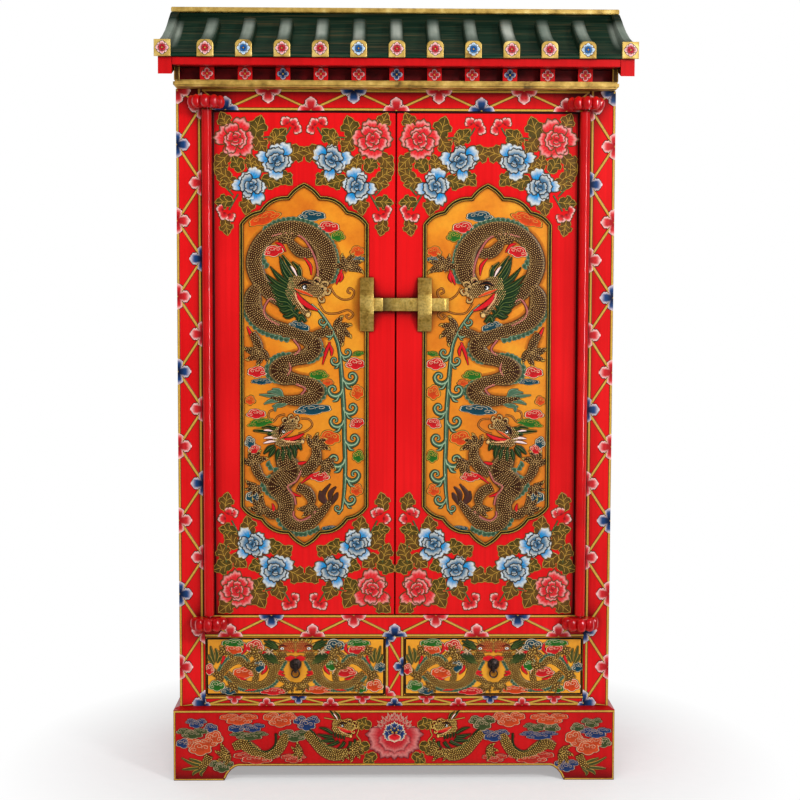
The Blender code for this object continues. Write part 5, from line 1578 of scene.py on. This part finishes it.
def paint_corner(relief, axis, flip, peonies, leaves, stems, buds):
    """One corner group of peonies with its leaves, stems and buds, mirrored across the axis by flip."""
    for line in stems:
        stem(relief, mirrored(line, axis, 0.0, flip))
    for k, (x, z, turn, length) in enumerate(leaves):
        length *= LEAF_GROWTH
        x -= length / 2 * math.cos(math.radians(turn))
        z -= length / 2 * math.sin(math.radians(turn))
        leaf(relief, axis + flip * x, z, facing(turn, flip), length, LEAF_DARK if k % 3 == 1 else LEAF)
    for x, z, turn, size in buds:
        bud(relief, axis + flip * x, z, facing(turn, flip), size)
    for x, z, radius, colour, turn in peonies:
        peony(relief, axis + flip * x, z, radius, colour, facing(turn, flip))


def on_both_doors(relief, name, slot, u):
    """The same painting on both doors, mirrored on the right one."""
    for word, mirror in (("left", 1.0), ("right", -1.0)):
        relief.piece(word + name, word + "_door", slot, u, mirror)


def make_door_peonies():
    """Peonies in the corners of the door boards, and painted shade in the gaps beside the post and under the
    rail.
    """
    board = Relief(DARK_RED)
    foot, head = span("left_door_board")
    inner = span("left_door_board", "x")[1]
    seam = POST_X - POST_RADIUS - DOOR_SEAM
    top = head - DOOR_SEAM
    board.stroke(even(((-seam, top), (inner, top)), DOOR_SEAM), 0.3, GAP_SHADE)
    board.stroke(even(((-seam, foot), (-seam, head)), 1.8), 0.3, GAP_SHADE)
    for flip in (1, -1):
        paint_corner(board, -PANEL_X, flip, TOP_PEONIES, TOP_LEAVES, TOP_STEMS, TOP_BUDS)
        paint_corner(board, -PANEL_X, flip, LOW_PEONIES, LOW_LEAVES, LOW_STEMS, LOW_BUDS)
    on_both_doors(board, "_door_peonies", "red_lacquer", 0.0)


def make_rim_lines():
    """Two gilt lines along each panel's rim."""
    lines = Relief()
    for margin in RIM_MARGINS:
        quarter = cusped_edge(margin)
        for flip in (1, -1):
            for rise in (1, -1):
                run = [(flip * x - PANEL_X, rise * z + PANEL_Z, 0.65) for x, z in quarter]
                lines.stroke(run, 0.5, GOLD_LINE)
    on_both_doors(lines, "_rim_lines", "dark_green_lacquer", RIM_U)


PANEL_HALF = 145.0    # how far a panel's drawing reaches to each side
STAIN_AND_SHADE_REACH = 11.0    # how far the brown stain and painted shade spread beside a body


def make_panel_dragons():
    """The two dragons of a panel among clouds, with the vine beside them."""
    panel = Relief(DARK_LINE, (-PANEL_X - PANEL_HALF, -PANEL_X + PANEL_HALF, 0.0, 2000.0))

    def here(points):
        return mirrored(points, -PANEL_X, PANEL_Z)

    for body in (RING_TAIL, RING_DRAGON, LOW_DRAGON) + RING_LEGS + LOW_LEGS:
        stain_and_shade_beside(panel, here(body), STAIN_AND_SHADE_REACH)
    for colour, x, z, half_w, half_h, turn in PANEL_CLOUDS:
        line = CREAM if colour in ("teal", "red") else GOLD_LINE
        cloud(panel, x - PANEL_X, z + PANEL_Z, half_w, half_h, CLOUDS[colour], line, turn)
    vine = smooth(here(VINE), 6)
    panel.stroke(vine, 1.8, JADE, mixed(JADE, MANE, 0.5))
    panel.stroke([(x + 1.2, z, 0.8) for x, z, _ in vine], 0.5, PALE_JADE, lift=1.6)
    for x, z, size, flip in VINE_CURLS:
        vine_curl(panel, x - PANEL_X, z + PANEL_Z, size, flip)
    tongues(panel, map(here, FLAMES), 4.2, FLAME, DEEP_RED, 1.8)
    tongues(panel, map(here, TAIL_FEATHERS), 5.0, FIN, PALE_JADE, 1.8)
    tongues(panel, map(here, LEAF_FLAMES), 6.0, PURPLE, BROWN_LINE, 1.6)
    for body, legs, fins, bellies in ((RING_TAIL, (), RING_FINS[2:], RING_BELLIES[1:]),
                                      (RING_DRAGON, RING_LEGS, RING_FINS[:2], RING_BELLIES[:1]),
                                      (LOW_DRAGON, LOW_LEGS, LOW_FINS, LOW_BELLIES)):
        for path in fins:
            fin(panel, here(path), here(body), 1.5)
        for leg in legs:
            serpent(panel, here(leg), 0.1)
        serpent(panel, here(body), 0.3)
        bands(panel, map(here, bellies), 2.6, 1.4, BELLY, DEEP_RED, 1.2)
    for x, z, turn, size in PANEL_PAWS:
        paw(panel, x - PANEL_X, z + PANEL_Z, turn, size)
    for points in HORN_LOCKS:
        hair(panel, smooth(here(points), 6), 1.8)
    for (x, z), (tip_x, tip_z) in RING_MANE:
        bend = ((x + tip_x) / 2 - 2, (z + tip_z) / 2 - 4, 6.8)
        lock = ((x + 12, z - 14, 4.0), (x, z, 6.4), bend, (tip_x, tip_z, 0.6))
        hair(panel, smooth(here(lock), 5), 1.8)
    for points in LOW_COLLAR:
        hair(panel, smooth(tapered(here(points), 6.0), 5), 1.8)
    tongues(panel, map(here, LOW_HORNS), 3.6, PALE_PINK, BELLY, 1.6, 1.8)
    for x, z, turn, size in PANEL_HEADS:
        dragon_head(panel, x - PANEL_X, z + PANEL_Z, turn, size)
    bands(panel, map(here, RING_WHISKERS + LOW_WHISKERS), 1.6, 1.3, WHISKER, BODY, 0.2)
    on_both_doors(panel, "_panel_dragons", "amber_lacquer", PANEL_U)


DRAWER_HALF = (219.0, 71.5)     # half the width and height of a drawer's front
SHADOW = 2.4                    # half width of the dark line along its edge
DRAWER_THIN = 0.82              # how much thinner the drawers' bodies are painted than drawn
CLOUD_GROWTH = 1.15             # how much larger the drawers' and the plinth's clouds are painted


def make_drawer_painting(word, middle):
    """Two dragons that meet above the pull, among clouds."""
    half_x, half_z = DRAWER_HALF
    relief = Relief(DARK_LINE, (middle - half_x, middle + half_x, DRAWER_Z - half_z, DRAWER_Z + half_z))
    for colour, x, z, half_w, half_h, turn in DRAWER_CLOUDS:
        cloud(relief, middle + x, DRAWER_Z + z, half_w * CLOUD_GROWTH, half_h * CLOUD_GROWTH, CLOUDS[colour],
              CREAM, turn)
    corners = [(middle + a * (half_x - SHADOW), DRAWER_Z + b * (half_z - SHADOW), SHADOW)
               for a, b in ((-1, -1), (1, -1), (1, 1), (-1, 1), (-1, -1))]
    for start, end in zip(corners, corners[1:]):
        relief.stroke([start, end], 0.3, BLACK)
    for flip in (1, -1):
        def here(points):
            return mirrored(points, middle, DRAWER_Z, flip, DRAWER_THIN)

        tongues(relief, map(here, DRAWER_TAIL), 5.2, OLIVE, GOLD_LINE)
        tongues(relief, map(here, DRAWER_FLAMES), 4.6, FLAME, DEEP_RED)
        bodies = [here(points) for points in DRAWER_BODIES]
        fin(relief, along_back(bodies[0], flip), bodies[0])
        fin(relief, along_back(bodies[1], -flip), bodies[1])
        for body in bodies:
            serpent(relief, body, 0.1, 4.5, DRAWER_SCALE, DARK_BODY, 0.34)
        for x, z, turn, size in DRAWER_PAWS:
            paw(relief, middle + flip * x, DRAWER_Z + z, facing(turn, flip), size, 0.5, DRAWER_SCALE,
                DARK_BODY)
        meeting_heads(relief, middle, DRAWER_Z, flip)
    relief.piece(word + "_drawer_dragons", word + "_drawer", "amber_lacquer", 0.0)


LOTUS_FAN = (DEEP_RED, *shades("#B4121C", "#D8605C", "#CFA08A"))
LOTUS_CUP = shades("#A01018", "#BE1E28", "#DC928A", "#8A3A3E")
LOTUS_HEART = (DEEP_BLUE, NAVY, srgb("#3A6AA4"), CREAM)
LOTUS_LIP = (DEEP_RED, RED, PALE_PINK, CREAM)
# Rows of petals: rise, first turn, step, count, root, tip, its gain at the sides, half width, lift, height,
# paints, frill and paling
LOTUS_ROWS = (
    (4, -6, 16, 13, 8.0, 58.0, -8.0, 9.0, 0.0, 1.1, LOTUS_FAN, 0.12, 0.8),
    (10, 10, 16, 11, 4.0, 40.0, 0.0, 7.5, 0.5, 1.1, LOTUS_FAN, 0.12, 0.8),
    (6, 2, -30.7, 7, 4.0, 58.0, 10.0, 19.0, 0.7, 1.3, LOTUS_CUP, 0.06, 0.62),
    (4, -22, -34, 5, 2.0, 42.0, 0.0, 14.0, 1.3, 1.2, LOTUS_CUP, 0.06, 0.66),
    (12, -4, 47, 5, 3.0, 27.0, 0.0, 9.0, 1.8, 1.1, LOTUS_HEART, 0.10, 0.7),
    (8, 200, 140, 2, 3.0, 24.0, 0.0, 8.0, 1.8, 1.1, LOTUS_HEART, 0.10, 0.7),
)


def lotus(relief, x, z):
    """The plinth's great flower: a feathered red fan, broad pale-edged petals, a blue and gold heart."""
    for rise, first, step, count, root, tip, gain, width, lift, height, paints, frill, paling in LOTUS_ROWS:
        for k in range(count):
            turn = first + step * k
            reach = tip + gain * abs(math.cos(math.radians(turn)))
            petal(relief, x, z + rise, turn, root, reach, width, lift, height, paints, frill, paling)
    for px, pz in ((-9, 20), (0, 24), (9, 20), (-5, 14), (5, 14)):
        relief.dot(x + px, z + pz, 4.0, 3.4, GILT, BROWN_LINE, 7)
    for turn in (-130, -50, -90):
        petal(relief, x, z + 10, turn, 0.0, 20.0, 7.5, 2.3, 1.2, LOTUS_LIP, 0.05, 0.72)


PLINTH_PAINTS = {"orange": srgb("#D04618"), "red": srgb("#BE281A"), "navy": srgb("#1C3A6E"),
                 "olive": srgb("#405028")}
OTHER_SIDE = {"navy": "olive", "olive": "navy"}     # paints that change places on the plinth's right half
# Clouds of one bank: shift and share of its size
BANK = ((-0.55, 0.35, 0.66), (0.55, 0.40, 0.62), (0.0, -0.30, 0.80))
SMALL_BANK = ((0.0, 0.0, 1.2),)
PLINTH_DRAWING = (1.0, 174.0)   # lowest and highest line of the plinth's drawing
PAW_GROWTH = 1.3                # how much larger the plinth's paws are painted than drawn


def make_plinth_painting():
    """Two dragons that face a great lotus, clouds over them, and gilt lines along the plinth's edges."""
    relief = Relief(DARK_RED, (-PLINTH_HALF, PLINTH_HALF, *PLINTH_DRAWING))
    for flip in (1, -1):
        def here(points):
            return mirrored(points, flip=flip)

        for colour, x, z, half_w, half_h, turn in PLINTH_CLOUDS:
            if flip < 0:
                colour = OTHER_SIDE.get(colour, colour)
            for k, (dx, dz, share) in enumerate(BANK if half_w > 20 else SMALL_BANK):
                cloud(relief, flip * x + dx * half_w, z + dz * half_h, half_w * share,
                      half_h * share * CLOUD_GROWTH, PLINTH_PAINTS[colour], DULL_CREAM, turn, 0.2 + 0.3 * k)
        tongues(relief, map(here, PLINTH_TAIL), 4.5, OLIVE, GOLD_LINE, 1.5)
        for points in PLINTH_BODIES:
            serpent(relief, here(points), 0.1, 4.7, DRAWER_SCALE, PLINTH_BODY, 0.33)
        bands(relief, map(here, PLINTH_FINS), 2.6, 1.2, MANE, OLIVE, 1.4)
        for x, z, size, turn in PLINTH_PAWS:
            paw(relief, flip * x, z, facing(turn, flip), size * PAW_GROWTH, 0.5, DRAWER_SCALE, PLINTH_BODY)
        for points in PLINTH_MANE:
            hair(relief, smooth(here(points), 5), 1.0)
        bands(relief, map(here, PLINTH_WHISKERS), 1.3, 1.2, GILT, BROWN_LINE, 0.2)
        dragon_head(relief, *here([PLINTH_EYE])[0], 4, 60, flip, 0.8, PLINTH_BODY, DRAWER_SCALE, 22.0)
        for x, z, turn, length in PLINTH_LEAVES:
            leaf(relief, flip * x, z, facing(turn, flip), length, LEAF_DARK)
        for points in (PLINTH_EDGE, PLINTH_FOOT):
            relief.stroke(even(here(points), 2.2), 0.9, GOLD_LINE, BROWN_LINE)
    gold_line(relief, (-PLINTH_HALF, PLINTH_TOP_LINE), (PLINTH_HALF, PLINTH_TOP_LINE), 2.6)
    lotus(relief, 0.0, LOTUS_Z)
    relief.piece("plinth_dragons", "cabinet", "red_lacquer", PLINTH_U)


finish_nodes()
ease_edges("left_keeper", "left_door", 1.0)
ease_edges("right_keeper", "right_door", 1.0)
ease_edges("bolt", "bolt", 0.8)
make_lattice()
make_tile_ends()
make_cap_flowers()
for word, side in (("left", -1), ("right", 1)):
    make_socket(word + "_top_socket", side)
    make_socket(word + "_bottom_socket", side)
    make_post(word, side)
    make_drawer_painting(word, side * DRAWER_X)
make_door_peonies()
make_rim_lines()
make_panel_dragons()
make_plinth_painting()


# Studio, in metres
FLOOR_REACH = 14.0
FLOOR_SIDES = 48
FLOOR_Z = -0.0004
# name, place, target, size, power, whether mirrored rays see it, whether it lights matt paint
LAMPS = (
    ("key", (2.4, -3.4, 2.7), (0.0, -0.2, 1.1), (0.6, 0.6), 80.0, True, True),
    ("strip", (1.6, -2.13, 1.15), (0.0, -0.2, 1.15), (0.1, 1.2), 14.0, True, False),
    ("fill", (-2.6, -3.4, 2.4), (0.0, -0.2, 0.9), (2.0, 2.0), 20.0, False, True),
    ("top", (-0.3, -2.6, 3.8), (0.0, -0.2, 1.2), (1.5, 0.9), 42.0, False, True),
)
CAMERA_PLACE = (-0.049, FRONT_Y - 3.6, 1.1798)
PAN, TILT, ROLL = -0.0167, -0.0681, 0.0033      # radians
LENS, SENSOR = 67.0, 36.0                       # millimetres


def make_floor():
    """A pale matt floor sheet under the armoire, which fades to white away from it."""
    material, tree, shader, place = new_material("pale_floor_paper")
    fibre = add_node(tree, "TexNoise", {"Vector": place, "Scale": per(40.0), "Detail": 3.0})
    colour = add_node(tree, "ValToRGB", {"Fac": fibre}, ((0.3, "#F8F8F8"), (0.7, "#FCFCFC")))
    plug(tree, shader, {"Base Color": colour, "Roughness": 0.9, "Specular IOR Level": 0.1})
    reach = add_node(tree, "VectorMath", {0: place}, operation="LENGTH").outputs["Value"]
    away = add_node(tree, "MapRange", {"Value": reach, "From Min": 0.55, "From Max": 1.0, "To Min": 0.35})
    rays = add_node(tree, "LightPath").outputs
    mirror = add_node(tree, "Math", {0: rays["Is Glossy Ray"], 1: rays["Is Transmission Ray"]},
                      operation="MAXIMUM")
    seen = add_node(tree, "Math", {0: rays["Is Camera Ray"], 1: away}, operation="MULTIPLY")
    share = add_node(tree, "Math", {0: seen, 1: mirror}, operation="MAXIMUM")
    parts = add_node(tree, "SeparateXYZ", {"Vector": place}).outputs
    behind = add_node(tree, "MapRange", {"Value": parts["Y"], "From Min": -0.6, "From Max": 0.4,
                                         "To Min": 0.06})
    level = add_node(tree, "Math", {0: behind, 1: rays["Is Camera Ray"]}, operation="MAXIMUM")
    white = add_node(tree, "Emission", {"Strength": level})
    blend = add_node(tree, "MixShader", {0: share, 1: shader, 2: white})
    plug(tree, tree.nodes["Material Output"], {"Surface": blend})
    mesh = bpy.data.meshes.new("floor")
    turns = [2 * math.pi * k / FLOOR_SIDES for k in range(FLOOR_SIDES)]
    mesh.from_pydata([(FLOOR_REACH * math.cos(a), FLOOR_REACH * math.sin(a), FLOOR_Z) for a in turns], [],
                     [tuple(range(FLOOR_SIDES))])
    mesh.materials.append(material)
    floor = bpy.data.objects.new("floor", mesh)
    bpy.context.collection.objects.link(floor)


def make_world():
    """Even studio air: a soft grey light on the armoire, white where it is seen, and in mirrored rays a white
    backdrop behind the armoire, a dim room before it and a pale screen round the camera."""
    world = bpy.data.worlds.new("studio")
    bpy.context.scene.world = world
    world.use_nodes = True
    tree = world.node_tree
    rays = add_node(tree, "LightPath").outputs
    direct = add_node(tree, "Math", {0: rays["Is Camera Ray"], 1: rays["Is Glossy Ray"]}, operation="MAXIMUM")
    seen = add_node(tree, "Math", {0: direct, 1: rays["Is Transmission Ray"]}, operation="MAXIMUM")
    toward = add_node(tree, "TexCoord").outputs["Generated"]
    parts = add_node(tree, "SeparateXYZ", {"Vector": toward}).outputs
    rise = add_node(tree, "Math", {0: parts["Z"]}, operation="ABSOLUTE")
    walls = add_node(tree, "MapRange", {"Value": rise, "From Min": 0.15, "From Max": 0.65, "To Min": 1.0,
                                        "To Max": 0.22})
    depth = add_node(tree, "MapRange", {"Value": parts["Y"], "From Min": -1.0})
    dim = (0.06, 0.06, 0.06)
    front = add_node(tree, "ValToRGB", {"Fac": depth},
                     ((0.02, (0.12, 0.12, 0.12)), (0.09, dim), (0.52, dim), (0.75, FULL)))
    room = add_node(tree, "Math", {0: walls, 1: front}, operation="MULTIPLY")
    bright = add_node(tree, "Math", {0: room, 1: rays["Is Camera Ray"]}, operation="MAXIMUM")
    level = add_node(tree, "MapRange", {"Value": seen, "To Min": 0.40, "To Max": bright})
    plug(tree, tree.nodes["Background"], {"Color": (*FULL, 1.0), "Strength": level})


def make_lamp(name, place, target, size, power, mirrored_too, lights):
    light = bpy.data.lights.new(name, "AREA")
    light.shape = "RECTANGLE"
    light.size, light.size_y = size
    light.energy = power
    holder = bpy.data.objects.new(name, light)
    holder.location = place
    holder.visible_glossy = mirrored_too
    holder.visible_diffuse = lights
    holder.rotation_euler = (Vector(target) - Vector(place)).to_track_quat("-Z", "Y").to_euler()
    bpy.context.collection.objects.link(holder)


def make_camera():
    """The photograph's camera: just above the middle of the doors, a little left, tilted down."""
    data = bpy.data.cameras.new("camera")
    data.lens = LENS
    data.sensor_width = SENSOR
    camera = bpy.data.objects.new("camera", data)
    turn = Matrix.Rotation(PAN, 4, "Z") @ Matrix.Rotation(math.pi / 2 + TILT, 4, "X")
    camera.matrix_world = Matrix.Translation(CAMERA_PLACE) @ turn @ Matrix.Rotation(ROLL, 4, "Z")
    bpy.context.collection.objects.link(camera)
    bpy.context.scene.camera = camera


make_floor()
make_world()
for facts in LAMPS:
    make_lamp(*facts)
make_camera()
bpy.context.scene.view_settings.view_transform = "Standard"
